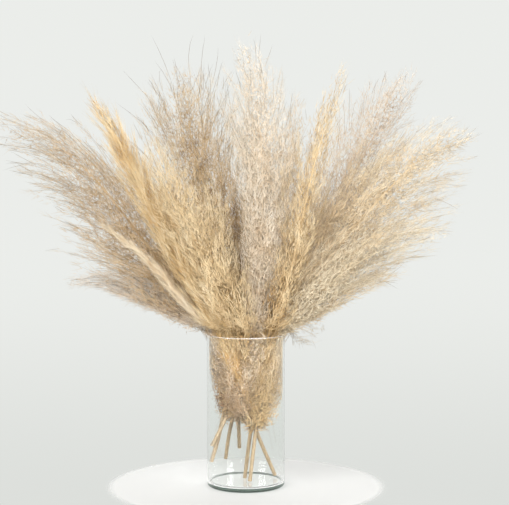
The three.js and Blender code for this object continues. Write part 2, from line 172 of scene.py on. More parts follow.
STEMS = (
    StemPlan(
        "far_left_grey", Tone.GREY_BEIGE, 16, 64, 0.62,
        ((-4, -8, 98), (-9, -4, 118), (-44, 16, 235), (-95, 20, 310), (-165, 25, 415), (-235, 30, 500),
         (-305, 35, 550), (-375, 40, 565)),
        girth=80, crown=0.7, hang=(-16, 0, -26), reach=165, threads=150, below=-8, thickness=1.18,
        thread_length=34, mouth=15, flare=0.4, fall_from=100, bow=(-2, 0, -26), nod=(0, 0, -5),
        pale=-0.08,
    ),
    # Its large pale is partly its own paler colour and partly painted light that lifts the shade under
    # the bundle.
    StemPlan(
        "low_left_pink", Tone.PINK_BEIGE, 16, 38, 0.6,
        ((4, -16, 96), (-4, -14, 118), (-47, -4, 235), (-95, 10, 262), (-150, 25, 290), (-215, 40, 308),
         (-285, 60, 300)),
        girth=54, crown=0.5, hang=(2, 0, -14), reach=110, threads=36, below=-8, mouth=10, flare=0.3,
        pale=0.85, thread_length=20, bow=(0, 0, 6), nod=(6, 0, -4),
    ),
    StemPlan(
        "tall_left_gold", Tone.GOLD, 96, 28, 0.5,
        ((46, 24, 10.5), (4, 2, 112), (-31, -35, 235), (-60, -45, 290), (-108, -60, 375),
         (-150, -80, 455), (-188, -95, 530), (-224, -110, 595)),
        girth=26, crown=0.8, hang=(6, 0, 4), reach=85, thickness=1.8, threads=12, spread=20, hair=20,
        core=0.18, below=6, bow=(-2, 0, 0), nod=(5, 0, -10), room=14,
    ),
    StemPlan(
        "front_left_tan", Tone.YELLOW_TAN, 66, 46, 0.7,
        ((-11, 53, 48), (-12, 28, 112), (-12, -43, 235), (-45, -70, 310), (-75, -95, 385),
         (-110, -125, 455), (-135, -150, 530)),
        girth=54, crown=0.84, hang=(8, -2, 10), reach=100, thickness=1.2, threads=40, spread=46,
        room=15, mouth=16, flare=0.6, bow=(0, 14, 0), nod=(0, 22, 0),
    ),
    StemPlan(
        "left_spike", Tone.PALE_STRAW, 110, 11, 0.5,
        ((10, -22, 98), (0, -21, 118), (-42, -23, 235), (-90, -40, 285), (-145, -60, 350),
         (-210, -80, 405)),
        girth=8, crown=0.4, hang=(0, 0, 0), reach=40, thickness=4.5, threads=0, spread=24, hair=14,
        core=0.25, pale=0.2,
    ),
    StemPlan(
        "back_left_brown", Tone.GREY_BROWN, 70, 60, 0.95,
        ((-53, -8, 38), (-30, 2, 112), (-8, 22, 235), (-30, 55, 330), (-50, 90, 425), (-80, 120, 520),
         (-100, 160, 645)),
        girth=84, crown=0.9, hang=(0, 0, 4), reach=130, threads=140, thread_length=56, thickness=1.2,
        below=-20, mouth=14, flare=0.25, bow=(-4, 0, 0), nod=(-4, 0, 0), pale=-0.05,
    ),
    StemPlan(
        "centre_pale", Tone.PALE_PINK, 80, 60, 0.62,
        ((-33, 43, 33), (-21, 10, 112), (15, -28, 235), (20, -45, 320), (25, -65, 410), (25, -85, 515),
         (15, -105, 600), (0, -120, 670)),
        girth=80, crown=0.66, hang=(6, -4, 4), reach=110, threads=60, thread_length=30, below=-4,
        thickness=1.3, mouth=12, flare=0.14, pale=0.16, nod=(-2, 0, -9), room=40,
    ),
    StemPlan(
        "back_centre_grey", Tone.GREY_BEIGE, 52, 36, 0.6,
        ((-51, -17, 64), (-30, -8, 112), (4, 46, 235), (50, 70, 330), (65, 95, 440), (75, 115, 535),
         (85, 130, 600)),
        girth=64, crown=0.66, hang=(0, 0, 4), reach=100, thickness=0.6, threads=40, below=-4,
    ),
    StemPlan(
        "right_centre_tan", Tone.YELLOW_TAN, 104, 27, 0.6,
        ((-2, 14, 8.2), (11, -8, 112), (33, -33, 235), (65, -50, 315), (85, -65, 395), (100, -80, 480),
         (120, -95, 560), (140, -110, 625)),
        girth=40, crown=0.7, hang=(-8, 0, 6), reach=110, thickness=0.85, threads=30, spread=36,
        pale=-0.12, nod=(4, 0, -2), core=0.06, hair=13, room=16, mouth=14, flare=0.3, bow=(-5, 0, 0),
    ),
    StemPlan(
        "tall_right_pink", Tone.PINK_BEIGE, 18, 42, 0.62,
        ((-8, 14, 98), (2, 16, 118), (26, 42, 235), (85, 55, 300), (130, 70, 385), (175, 90, 470),
         (220, 105, 560), (265, 120, 635)),
        girth=84, crown=0.74, hang=(-8, 0, 4), reach=110, threads=50, thickness=1.05, bow=(-8, 0, 0),
        nod=(-2, 0, 0),
    ),
    StemPlan(
        "right_cream", Tone.CREAM, 106, 56, 0.62,
        ((6, -9, 7.9), (19, -3, 112), (47, 8, 235), (100, 5, 300), (160, 0, 370), (230, -5, 450),
         (290, -5, 510), (340, -10, 545)),
        girth=98, crown=0.74, hang=(10, 0, -6), reach=120, threads=70, below=14, thickness=1.2,
        mouth=20, flare=0.42, fall_from=140, pale=0.05, bow=(-4, 0, 15), nod=(-8, 0, -2),
    ),
    # Its large pale is partly its own paler colour and partly painted light that lifts the shade under
    # the bundle.
    StemPlan(
        "low_right_cream", Tone.CREAM, 20, 52, 0.6,
        ((16, -18, 94), (24, -16, 118), (46, -12, 235), (105, -35, 290), (165, -55, 335), (230, -75, 370),
         (290, -95, 385)),
        girth=50, crown=0.66, hang=(6, 0, 28), reach=110, threads=50, below=12, mouth=14, flare=0.35,
        pale=0.75, bow=(0, 0, 10), nod=(0, 0, 4),
    ),
    # Its large pale is partly its own paler colour and partly painted light that lifts the shade under
    # the bundle.
    StemPlan(
        "lowest_right_pale", Tone.PALE_PINK, 18, 42, 0.55,
        ((12, 8, 96), (18, 12, 118), (38, 27, 235), (90, 30, 255), (130, 35, 275), (185, 40, 295),
         (250, 45, 305)),
        girth=32, crown=0.6, hang=(4, 0, 24), reach=90, threads=30, below=10, mouth=5, flare=0.08,
        pale=1.0, bow=(0, 0, 14), nod=(-16, 0, 14), limp=0.8,
    ),
    StemPlan(
        "back_brown", Tone.GREY_BROWN, 16, 46, 0.62,
        ((6, 22, 100), (4, 28, 118), (-16, 44, 235), (0, 85, 295), (5, 145, 390), (10, 200, 490),
         (5, 260, 590)),
        girth=48, crown=0.62, hang=(0, 8, -6), reach=110, threads=40,
    ),
    StemPlan(
        "back_left_grey", Tone.GREY_BEIGE, 16, 50, 0.62,
        ((4, 8, 102), (0, 8, 118), (-33, 33, 235), (-40, 75, 295), (-85, 125, 365), (-125, 170, 430),
         (-165, 210, 490)),
        girth=62, crown=0.62, hang=(-6, 8, -6), reach=110, threads=40,
    ),
)


def swell(v: np.ndarray, fan: float) -> np.ndarray:
    """Gives how far a solid's head swells, from 0 at both its ends to 1 where it is widest.

    Args:
        v: places along the head, from 0 at its start to 1 at its tip.
        fan: where it is widest; a lower number is nearer its start.

    Returns:
        The swelling at each place.
    """
    return np.sin(math.pi * np.clip(v, 0, 1) ** fan).clip(0) ** SWELL_POWER


def unit(vectors: np.ndarray) -> np.ndarray:
    """Returns the vectors of the last axis at length 1."""
    return vectors / np.maximum(np.linalg.norm(vectors, axis=-1, keepdims=True), TINY)


def between(ends: Pair, share: float | np.ndarray) -> float | np.ndarray:
    """Returns the values at the shares of the way from the first end to the second."""
    return ends[0] + (ends[1] - ends[0]) * share


def beside(ahead: np.ndarray) -> np.ndarray:
    """Returns a direction square to each of the directions ahead."""
    return unit(ANY_SIDE - (ahead @ ANY_SIDE)[..., None] * ahead)


def link(name: str, data: bpy.types.ID) -> bpy.types.Object:
    """Returns a new object of the data, linked to the scene."""
    thing = bpy.data.objects.new(name, data)
    bpy.context.scene.collection.objects.link(thing)
    return thing


class StemAxis:
    """The axis of one stem: its points, the distance run and the solid's radius at each."""

    def __init__(self, plan: StemPlan) -> None:
        """Lays the axis out as a centripetal curve through the plan's route.

        Args:
            plan: the stem.
        """
        self.plan = plan
        self.points = self._curve(np.array(plan.route, float))
        steps = np.linalg.norm(np.diff(self.points, axis=0), axis=1)
        self.run = np.concatenate([[0.0], np.cumsum(steps)])
        self.radii = self._radii()

    @staticmethod
    def _curve(route: np.ndarray) -> np.ndarray:
        """Returns points of the centripetal Catmull-Rom curve through the route."""
        ends = (2 * route[0] - route[1], 2 * route[-1] - route[-2])
        knots = np.vstack([ends[0], route, ends[1]])
        points = []
        for span in range(len(route) - 1):
            p0, p1, p2, p3 = knots[span:span + 4]
            d0, d1, d2 = (np.linalg.norm(b - a) ** 0.5 for a, b in ((p0, p1), (p1, p2), (p2, p3)))
            t1 = ((p1 - p0) / d0 - (p2 - p0) / (d0 + d1) + (p2 - p1) / d1) * d1
            t2 = ((p2 - p1) / d1 - (p3 - p1) / (d1 + d2) + (p3 - p2) / d2) * d1
            for step in range(STEPS_PER_SPAN):
                w = step / STEPS_PER_SPAN
                square = (3 * (p2 - p1) - 2 * t1 - t2) * w**2
                cube = (2 * (p1 - p2) + t1 + t2) * w**3
                points.append(p1 + t1 * w + square + cube)
        points.append(route[-1])
        return np.array(points)

    def _radii(self) -> np.ndarray:
        """Returns the radius of the solid's stalk at each point."""
        plan, run = self.plan, self.run
        rim_run = run[STEPS_PER_SPAN * RIM_STOP]
        v = (run - plan.bare) / (run[-1] - plan.bare)
        culm = np.where(v < 0, CULM_RADIUS, CULM_RADIUS + (TIP_RADIUS - CULM_RADIUS) * v)
        room = CORE_AT_RIM + CORE_SPREAD * (run - rim_run)
        rise = np.maximum(run - plan.bare, 0) / (rim_run - plan.bare)
        early = culm + (CORE_AT_RIM - culm) * rise
        core = CORE_SHARE * plan.width * swell(v, plan.fan)
        return np.maximum(culm, np.minimum(core, np.where(run < rim_run, early, room)))

    def keep_in_glass(self) -> None:
        """Keeps the points inside the glass, as stems that lean on the wall do."""
        out = np.hypot(self.points[:, 0], self.points[:, 1])
        room = INNER_RADIUS - self.radii - SEAT_GAP
        held = (self.points[:, 2] < VASE_HEIGHT) & (out > room)
        self.points[held, :2] *= (room[held] / out[held])[:, None]

    def lift_over_rim(self) -> None:
        """Lifts the axis clear of the rim that it hangs out over."""
        middle = VASE_RADIUS - WALL / 2
        for j in range(len(self.points) - 1):
            for step in range(RIM_TESTS + 1):
                share = step / RIM_TESTS
                p = self.points[j] * (1 - share) + self.points[j + 1] * share
                out = max(math.hypot(p[0], p[1]), TINY)
                on_rim = np.array([p[0] / out * middle, p[1] / out * middle, VASE_HEIGHT - WALL / 2])
                way = p - on_rim
                gap = np.linalg.norm(way)
                radius = self.radii[j] * (1 - share) + self.radii[j + 1] * share
                need = radius + WALL / 2 + RIM_GAP
                if gap < need:
                    way *= (need - gap) / gap
                    self.points[j] += way * (1 - share)
                    self.points[j + 1] += way * share

    def smooth(self) -> None:
        """Works out the smooth line that the looks follow, from the settled points.

        Past the rim the head bows and its tip nods, as the plan says.
        """
        self.fine = np.linspace(0, self.run[-1], LINE_POINTS)
        line = np.stack([np.interp(self.fine, self.run, self.points[:, a]) for a in range(3)], axis=-1)
        for _ in range(LINE_ROUNDS):
            line[1:-1] = 0.5 * line[1:-1] + 0.25 * (line[:-2] + line[2:])
        rim_run = self.run[STEPS_PER_SPAN * RIM_STOP]
        u = np.clip((self.fine - rim_run) / (self.run[-1] - rim_run), 0, 1)[:, None]
        self.line = line + np.sin(math.pi * u) * self.plan.bow + u**2 * self.plan.nod

    def at(self, s: np.ndarray) -> np.ndarray:
        """Returns the points of the smooth line at the distances s, straight on past the tip."""
        spot = np.stack([np.interp(s, self.fine, self.line[:, a]) for a in range(3)], axis=-1)
        ahead = unit(self.line[-1] - self.line[-TIP_STRETCH])
        return spot + np.maximum(s - self.run[-1], 0)[..., None] * ahead


class Bundle:
    """The axes of all stems, settled beside each other as the solids' are."""

    def __init__(self, plans: tuple[StemPlan, ...]) -> None:
        """Lays the stems out and settles them.

        Args:
            plans: the stems of the bundle.
        """
        self.axes = [StemAxis(plan) for plan in plans]
        self.first = np.concatenate([[0], np.cumsum([len(axis.points) for axis in self.axes])])
        self.owner = np.concatenate([np.full(len(a.points), n) for n, a in enumerate(self.axes)])
        self.radii = np.concatenate([axis.radii for axis in self.axes])
        self._settle()

    def _pairs(self) -> tuple[np.ndarray, np.ndarray]:
        """Returns every pair of spans, by first point, that belong to two stems."""
        last = self.first[1:] - 1
        spans = np.array([j for j in range(len(self.owner)) if j not in last])
        one, two = np.triu_indices(len(spans), 1)
        one, two = spans[one], spans[two]
        apart = self.owner[one] != self.owner[two]
        return one[apart], two[apart]

    def _settle(self) -> None:
        """Pushes crowded stems apart, a little each round, until each lies clear."""
        one, two = self._pairs()
        for _ in range(SETTLE_ROUNDS):
            points = np.concatenate([axis.points for axis in self.axes])
            pushes = self._pushes(points, one, two)
            for n, axis in enumerate(self.axes):
                own = pushes[self.first[n]:self.first[n + 1]]
                axis.points = axis.points + ease(ease(own))
                axis.lift_over_rim()
                axis.keep_in_glass()
        for axis in self.axes:
            axis.smooth()

    def _pushes(self, points: np.ndarray, one: np.ndarray, two: np.ndarray) -> np.ndarray:
        """Works out how far each point moves away from the stems that crowd it.

        Args:
            points: the points of all stems.
            one: the first point of each pair's first span.
            two: the first point of each pair's second span.

        Returns:
            A push for each point.
        """
        a, c = points[one], points[two]
        u, w = points[one + 1] - a, points[two + 1] - c
        r = a - c
        uu, ww, uw = (u * u).sum(1), (w * w).sum(1), (u * w).sum(1)
        ur, wr = (u * r).sum(1), (w * r).sum(1)
        cross = uu * ww - uw * uw
        nearest = np.clip((uw * wr - ur * ww) / np.maximum(cross, TINY), 0, 1)
        s = np.where(cross > TINY, nearest, 0.5)
        t = np.clip((uw * s + wr) / ww, 0, 1)
        s = np.clip((uw * t - ur) / uu, 0, 1)
        way = r + u * s[:, None] - w * t[:, None]
        gap = np.linalg.norm(way, axis=1)
        need = self.radii[one] * (1 - s) + self.radii[one + 1] * s + STEM_GAP
        need += self.radii[two] * (1 - t) + self.radii[two + 1] * t
        close = (gap < need) & (gap > TINY)
        shove = way[close] * (0.5 * (need - gap) / np.maximum(gap, TINY))[close, None]
        s, t = s[close, None], t[close, None]
        pushes = np.zeros_like(points)
        np.add.at(pushes, one[close], shove * (1 - s))
        np.add.at(pushes, one[close] + 1, shove * s)
        np.add.at(pushes, two[close], shove * (t - 1))
        np.add.at(pushes, two[close] + 1, -shove * t)
        return pushes


def ease(pushes: np.ndarray) -> np.ndarray:
    """Shares each push with the points before and after it.

    Args:
        pushes: the pushes along one stem.

    Returns:
        The eased pushes.
    """
    before = np.vstack([pushes[:1], pushes[:-1]])
    after = np.vstack([pushes[1:], pushes[-1:]])
    return 0.5 * pushes + 0.25 * before + 0.25 * after


@dataclass(frozen=True)
class Mouth:
    """How fluff lies against the glass and over the rim. Lengths are in millimetres.

    Attributes:
        gap_inside: the gap between the fluff and the inside of the wall.
        gap_outside: the gap between the fluff and the outside of the wall.
        beside: up to how far above the rim the fluff counts as beside the wall.
        over_rim: how far above the rim what hangs out of the vase passes it.
        rim_zone: how far out from the wall it keeps that height.
        over_base: the gap above the vase's inner floor.
        press_top: how far above the rim the vase still presses a plume together.
        press_depth: over what height that grows to the full.
        slope_from: how far out from the vase's axis the slope of the lowest plumes begins.
        slope_height: how far above the rim it begins.
        slope_rise: how steeply it rises outwards.
        slope_length: how far out it goes on.
        firmness: the share of the way to the slope that what lies below it is lifted.
    """

    gap_inside: float = 0.6
    gap_outside: float = 1.2
    beside: float = 1.5
    over_rim: float = 1.6
    rim_zone: float = 18.0
    over_base: float = 1.0
    press_top: float = 30.0
    press_depth: float = 100.0
    slope_from: float = 84.0
    slope_height: float = 21.0
    slope_rise: float = 0.4
    slope_length: float = 150.0
    firmness: float = 0.75

    def clear(self, points: np.ndarray, outside: np.ndarray) -> np.ndarray:
        """Moves points of the fluff clear of the glass.

        Args:
            points: points in millimetres, with x, y and z on the last axis.
            outside: whether each point belongs outside the vase.

        Returns:
            The points, none of them in or on the glass.
        """
        out = np.maximum(np.hypot(points[..., 0], points[..., 1]), TINY)
        inner = np.minimum(out, INNER_RADIUS - self.gap_inside)
        outer = np.maximum(out, VASE_RADIUS + self.gap_outside)
        low = points[..., 2] < VASE_HEIGHT + self.beside
        moved = points.copy()
        moved[..., :2] *= np.where(low, np.where(outside, outer, inner) / out, 1.0)[..., None]
        near = outside & (out < VASE_RADIUS + self.rim_zone)
        floor = np.where(near, VASE_HEIGHT + self.over_rim, BASE_THICKNESS + self.over_base)
        moved[..., 2] = np.maximum(moved[..., 2], floor)
        return moved

    def carry(self, paths: np.ndarray, past: np.ndarray) -> np.ndarray:
        """Lifts what hangs out of the vase, so that it rests on the rim and rises outwards.

        Args:
            paths: points in millimetres, with x, y and z on the last axis.
            past: whether each point is past the rim.

        Returns:
            The points, of which those past the rim hang only a little below the slope.
        """
        out = np.clip(np.hypot(paths[..., 0], paths[..., 1]) - self.slope_from, 0, self.slope_length)
        slope = VASE_HEIGHT + self.slope_height + self.slope_rise * out
        lifted = paths.copy()
        lifted[..., 2] += np.where(past, self.firmness * np.clip(slope - paths[..., 2], 0, None), 0)
        return lifted

    def pressed(self, spots: np.ndarray) -> np.ndarray:
        """Returns how hard the vase presses the fluff at each spot, from 0 to 1."""
        return np.clip((VASE_HEIGHT + self.press_top - spots[:, 2]) / self.press_depth, 0, 1)


MOUTH = Mouth()


class Strand:
    """A thin closed spike along +Z from 0 to 1, ready to be bent along many paths."""

    def __init__(self, sides: int, spans: int) -> None:
        """Makes the spike as a cone and cuts it across.

        Args:
            sides: faces round it.
            spans: stretches along it.
        """
        bm = bmesh.new()
        raise_up = Matrix.Translation((0, 0, 0.5))
        bmesh.ops.create_cone(
            bm, cap_ends=True, segments=sides, radius1=1, radius2=0, depth=1, matrix=raise_up
        )
        for cut in range(1, spans):
            geometry = bm.verts[:] + bm.edges[:] + bm.faces[:]
            bmesh.ops.bisect_plane(bm, geom=geometry, plane_co=(0, 0, cut / spans), plane_no=(0, 0, 1))
        bmesh.ops.triangulate(bm, faces=bm.faces[:])
        bmesh.ops.recalc_face_normals(bm, faces=bm.faces[:])
        bm.verts.index_update()
        self.spots = np.array([v.co[:] for v in bm.verts])
        self.faces = np.array([[v.index for v in f.verts] for f in bm.faces])
        self.spans = spans
        bm.free()
        around = np.hypot(self.spots[:, 0], self.spots[:, 1])
        self.turn = self.spots[:, :2] / np.maximum(around, TINY)[:, None]
        self.station = np.rint(self.spots[:, 2] * spans).astype(int)

    def along(
        self, paths: np.ndarray, widths: np.ndarray, profile: np.ndarray
    ) -> tuple[np.ndarray, np.ndarray]:
        """Bends one copy of the strand along each path.

        Args:
            paths: points of each path, as (copy, station, xyz), with one station more than spans.
            widths: the radius of each copy.
            profile: the share of the radius at each station.

        Returns:
            The vertices and which way each faces, both as (copy, vertex, xyz).
        """
        ahead = unit(paths[:, -1] - paths[:, 0])
        side = beside(ahead)
        over = np.cross(ahead, side)
        facing = side[:, None] * self.turn[:, :1] + over[:, None] * self.turn[:, 1:]
        reach = widths[:, None] * profile[self.station]
        return paths[:, self.station] + facing * reach[..., None], facing


class Tangle:
    """Collects bent strands with their bake coordinates and makes one mesh of them."""

    def __init__(self) -> None:
        """Starts empty."""
        self.vertices: list[np.ndarray] = []
        self.faces: list[np.ndarray] = []
        self.tints: list[np.ndarray] = []
        self.facing: list[np.ndarray] = []
        self.count = 0

    def add(self, strand: Strand, vertices: np.ndarray, facing: np.ndarray, tint: np.ndarray) -> None:
        """Adds copies of a strand.

        Args:
            strand: the strand that was bent.
            vertices: its copies' vertices, as (copy, vertex, xyz) in millimetres.
            facing: which way each vertex faces the light, as (copy, vertex, xyz).
            tint: the two bake coordinates of each vertex, as (copy, vertex, 2).
        """
        copies, corners = vertices.shape[:2]
        offsets = self.count + corners * np.arange(copies)
        self.faces.append((strand.faces[None] + offsets[:, None, None]).reshape(-1, 3))
        self.vertices.append(vertices.reshape(-1, 3))
        self.facing.append(facing.reshape(-1, 3))
        self.tints.append(tint.reshape(-1, 2))
        self.count += copies * corners

    def mesh(self, name: str) -> bpy.types.Mesh:
        """Makes the mesh.

        Args:
            name: the name of the mesh.

        Returns:
            The mesh, in metres, with its bake map.
        """
        spots = np.concatenate(self.vertices) * MM
        faces = np.concatenate(self.faces)
        tints = np.concatenate(self.tints)
        mesh = bpy.data.meshes.new(name)
        mesh.vertices.add(len(spots))
        mesh.vertices.foreach_set("co", spots.astype(np.float32).ravel())
        mesh.loops.add(faces.size)
        mesh.loops.foreach_set("vertex_index", faces.astype(np.int32).ravel())
        mesh.polygons.add(len(faces))
        mesh.polygons.foreach_set("loop_start", np.arange(0, faces.size, 3, dtype=np.int32))
        mesh.update(calc_edges=True)
        layer = mesh.uv_layers.new(name=BAKE_MAP)
        layer.data.foreach_set("uv", tints[faces.ravel()].astype(np.float32).ravel())
        mesh.shade_smooth()
        mesh.validate()
        mesh.normals_split_custom_set_from_vertices(unit(np.concatenate(self.facing)))
        return mesh


class Recipe:
    """The shader nodes of a finish or of the sky, added and joined by short calls."""

    def __init__(self, owner: bpy.types.Material | bpy.types.World) -> None:
        """Turns the owner's nodes on.

        Args:
            owner: the material or the world that they belong to.
        """
        owner.use_nodes = True
        self.tree = owner.node_tree

    @staticmethod
    def fill(node: bpy.types.Node, values: dict[str, float | tuple]) -> None:
        """Sets the inputs of the node that the values name.

        Args:
            node: the node.
            values: what each named input is set to.
        """
        for name, value in values.items():
            node.inputs[name].default_value = value

    def add(self, kind: str, values: dict[str, float | tuple] | None = None) -> bpy.types.Node:
        """Adds a node.

        Args:
            kind: its type, without the words that begin the type of every shader node.
            values: what the inputs that it names are set to.

        Returns:
            The node.
        """
        node = self.tree.nodes.new(f"ShaderNode{kind}")
        self.fill(node, values or {})
        return node

    def ramp(self, *stops: tuple[float, Colour]) -> bpy.types.Node:
        """Adds a colour ramp.

        Args:
            stops: the place and the colour of each of its stops.

        Returns:
            The ramp's node.
        """
        node = self.add("ValToRGB")
        elements = node.color_ramp.elements
        for place, _ in stops[1:-1]:
            elements.new(place)
        for element, (place, colour) in zip(elements, stops):
            element.position = place
            element.color = (*colour, 1)
        return node

    def join(
        self, source: bpy.types.Node, result: str, target: bpy.types.Node, entry: str | int
    ) -> None:
        """Joins two nodes.

        Args:
            source: the node that gives.
            result: its output.
            target: the node that takes.
            entry: its input.
        """
        self.tree.links.new(source.outputs[result], target.inputs[entry])


@dataclass(frozen=True)
class FluffFinish:
    """The finish of one tone of dry fluff.

    Attributes:
        tone: the colour family.
        deep: the colour deep inside, darker partly as the fluff's own colour and partly as painted shade.
        body: the colour half way out.
        light: the colour at the light outer edge.
        thread: the colour of the thread tips.
        glow: the share of the light that comes through.
        roughness: how matt it is.
        specular: how strongly it shines.
    """

    tone: Tone
    deep: Colour
    body: Colour
    light: Colour
    thread: Colour
    glow: float = 0.4
    roughness: float = 0.85
    specular: float = 0.2

    def material(self) -> bpy.types.Material:
        """Makes the material, whose colour follows the bake map.

        Returns:
            The material: across the map runs the tone from deep to light, up it root to thread tip.
        """
        material = bpy.data.materials.new(f"fluff_{self.tone.value}")
        recipe = Recipe(material)
        shader = recipe.tree.nodes["Principled BSDF"]
        recipe.fill(shader, {"Roughness": self.roughness, "Specular IOR Level": self.specular})
        place = recipe.add("UVMap")
        place.uv_map = BAKE_MAP
        parts = recipe.add("SeparateXYZ")
        recipe.join(place, "UV", parts, "Vector")
        ramp = recipe.ramp((0, self.deep), (0.5, self.body), (1, self.light))
        recipe.join(parts, "X", ramp, "Fac")
        mix = recipe.add("MixRGB", {"Color2": (*self.thread, 1)})
        recipe.join(parts, "Y", mix, "Fac")
        recipe.join(ramp, "Color", mix, "Color1")
        recipe.join(mix, "Color", shader, "Base Color")
        through = recipe.add("BsdfTranslucent")
        recipe.join(mix, "Color", through, "Color")
        blend = recipe.add("MixShader", {"Fac": self.glow})
        recipe.join(shader, "BSDF", blend, 1)
        recipe.join(through, "BSDF", blend, 2)
        recipe.join(blend, "Shader", recipe.tree.nodes["Material Output"], "Surface")
        return material


# The deep colours are partly the fluff's own darker colour and partly painted shade deep in the bundle.
FINISHES = (
    FluffFinish(
        Tone.GREY_BEIGE, deep=(0.50, 0.335, 0.165), body=(0.77, 0.585, 0.365), light=(0.86, 0.73, 0.545),
        thread=(0.15, 0.12, 0.09),
    ),
    FluffFinish(
        Tone.GREY_BROWN, deep=(0.28, 0.152, 0.063), body=(0.72, 0.535, 0.31), light=(0.87, 0.74, 0.54),
        thread=(0.13, 0.10, 0.08),
    ),
    FluffFinish(
        Tone.PINK_BEIGE, deep=(0.53, 0.37, 0.23), body=(0.79, 0.64, 0.47), light=(0.86, 0.75, 0.62),
        thread=(0.18, 0.13, 0.10),
    ),
    FluffFinish(
        Tone.PALE_PINK, deep=(0.68, 0.50, 0.31), body=(0.87, 0.74, 0.57), light=(0.90, 0.82, 0.70),
        thread=(0.19, 0.15, 0.11),
    ),
    FluffFinish(
        Tone.GOLD, deep=(0.66, 0.41, 0.15), body=(0.83, 0.65, 0.38), light=(0.90, 0.78, 0.55),
        thread=(0.45, 0.32, 0.18),
    ),
    FluffFinish(
        Tone.YELLOW_TAN, deep=(0.54, 0.35, 0.15), body=(0.90, 0.74, 0.48), light=(0.92, 0.82, 0.63),
        thread=(0.34, 0.26, 0.16),
    ),
    FluffFinish(
        Tone.PALE_STRAW, deep=(0.62, 0.44, 0.25), body=(0.85, 0.70, 0.49), light=(0.92, 0.82, 0.65),
        thread=(0.60, 0.50, 0.36),
    ),
    FluffFinish(
        Tone.CREAM, deep=(0.60, 0.43, 0.22), body=(0.87, 0.71, 0.48), light=(0.89, 0.79, 0.61),
        thread=(0.24, 0.18, 0.12),
    ),
)


@dataclass(frozen=True)
class StrawFinish:
    """The finish of the dry culms: pale straw with fine darker fibres.

    Attributes:
        pale: the colour between the fibres.
        dark: the colour of the fibres.
        roughness: how matt it is.
        fibres: how many of them there are to a metre along x, y and z.
        detail: how finely they divide.
        stops: where in the fibres' pattern the dark ends and the pale begins.
        relief: how strongly they stand out.
        relief_depth: by how many millimetres.
    """

    pale: Colour = (0.29, 0.215, 0.12)
    dark: Colour = (0.15, 0.10, 0.055)
    roughness: float = 0.5
    fibres: Point = (900, 900, 40)
    detail: float = 4
    stops: Pair = (0.3, 0.65)
    relief: float = 0.4
    relief_depth: float = 0.4

    def material(self) -> bpy.types.Material:
        """Makes the material.

        Returns:
            A material whose fibres run up the object.
        """
        material = bpy.data.materials.new("straw_culm")
        recipe = Recipe(material)
        shader = recipe.tree.nodes["Principled BSDF"]
        recipe.fill(shader, {"Roughness": self.roughness})
        place = recipe.add("TexCoord")
        stretch = recipe.add("Mapping", {"Scale": self.fibres})
        recipe.join(place, "Object", stretch, "Vector")
        fibre = recipe.add("TexNoise", {"Scale": 1, "Detail": self.detail})
        recipe.join(stretch, "Vector", fibre, "Vector")
        ramp = recipe.ramp((self.stops[0], self.dark), (self.stops[1], self.pale))
        recipe.join(fibre, "Fac", ramp, "Fac")
        recipe.join(ramp, "Color", shader, "Base Color")
        bump = recipe.add("Bump", {"Strength": self.relief, "Distance": self.relief_depth * MM})
        recipe.join(fibre, "Fac", bump, "Height")
        recipe.join(bump, "Normal", shader, "Normal")
        return material


@dataclass(frozen=True)
class GlassFinish:
    """The finish of one zone of the vase; the values given here are the clear wall's.

    Attributes:
        name: the material's name.
        tint: the colour of the glass.
        ior: how strongly it bends light.
        clearness: the share of the light that it lets through.
        roughness: how matt it is.
    """

    name: str = "vase_glass"
    tint: Colour = (0.95, 0.962, 0.952)
    ior: float = 1.46
    clearness: float = 1.0
    roughness: float = 0.0

    def material(self) -> bpy.types.Material:
        """Makes the material.

        Returns:
            The glass of the zone.
        """
        material = bpy.data.materials.new(self.name)
        recipe = Recipe(material)
        glass = {
            "Base Color": (*self.tint, 1), "Roughness": self.roughness, "IOR": self.ior,
            "Transmission Weight": self.clearness,
        }
        recipe.fill(recipe.tree.nodes["Principled BSDF"], glass)
        return material


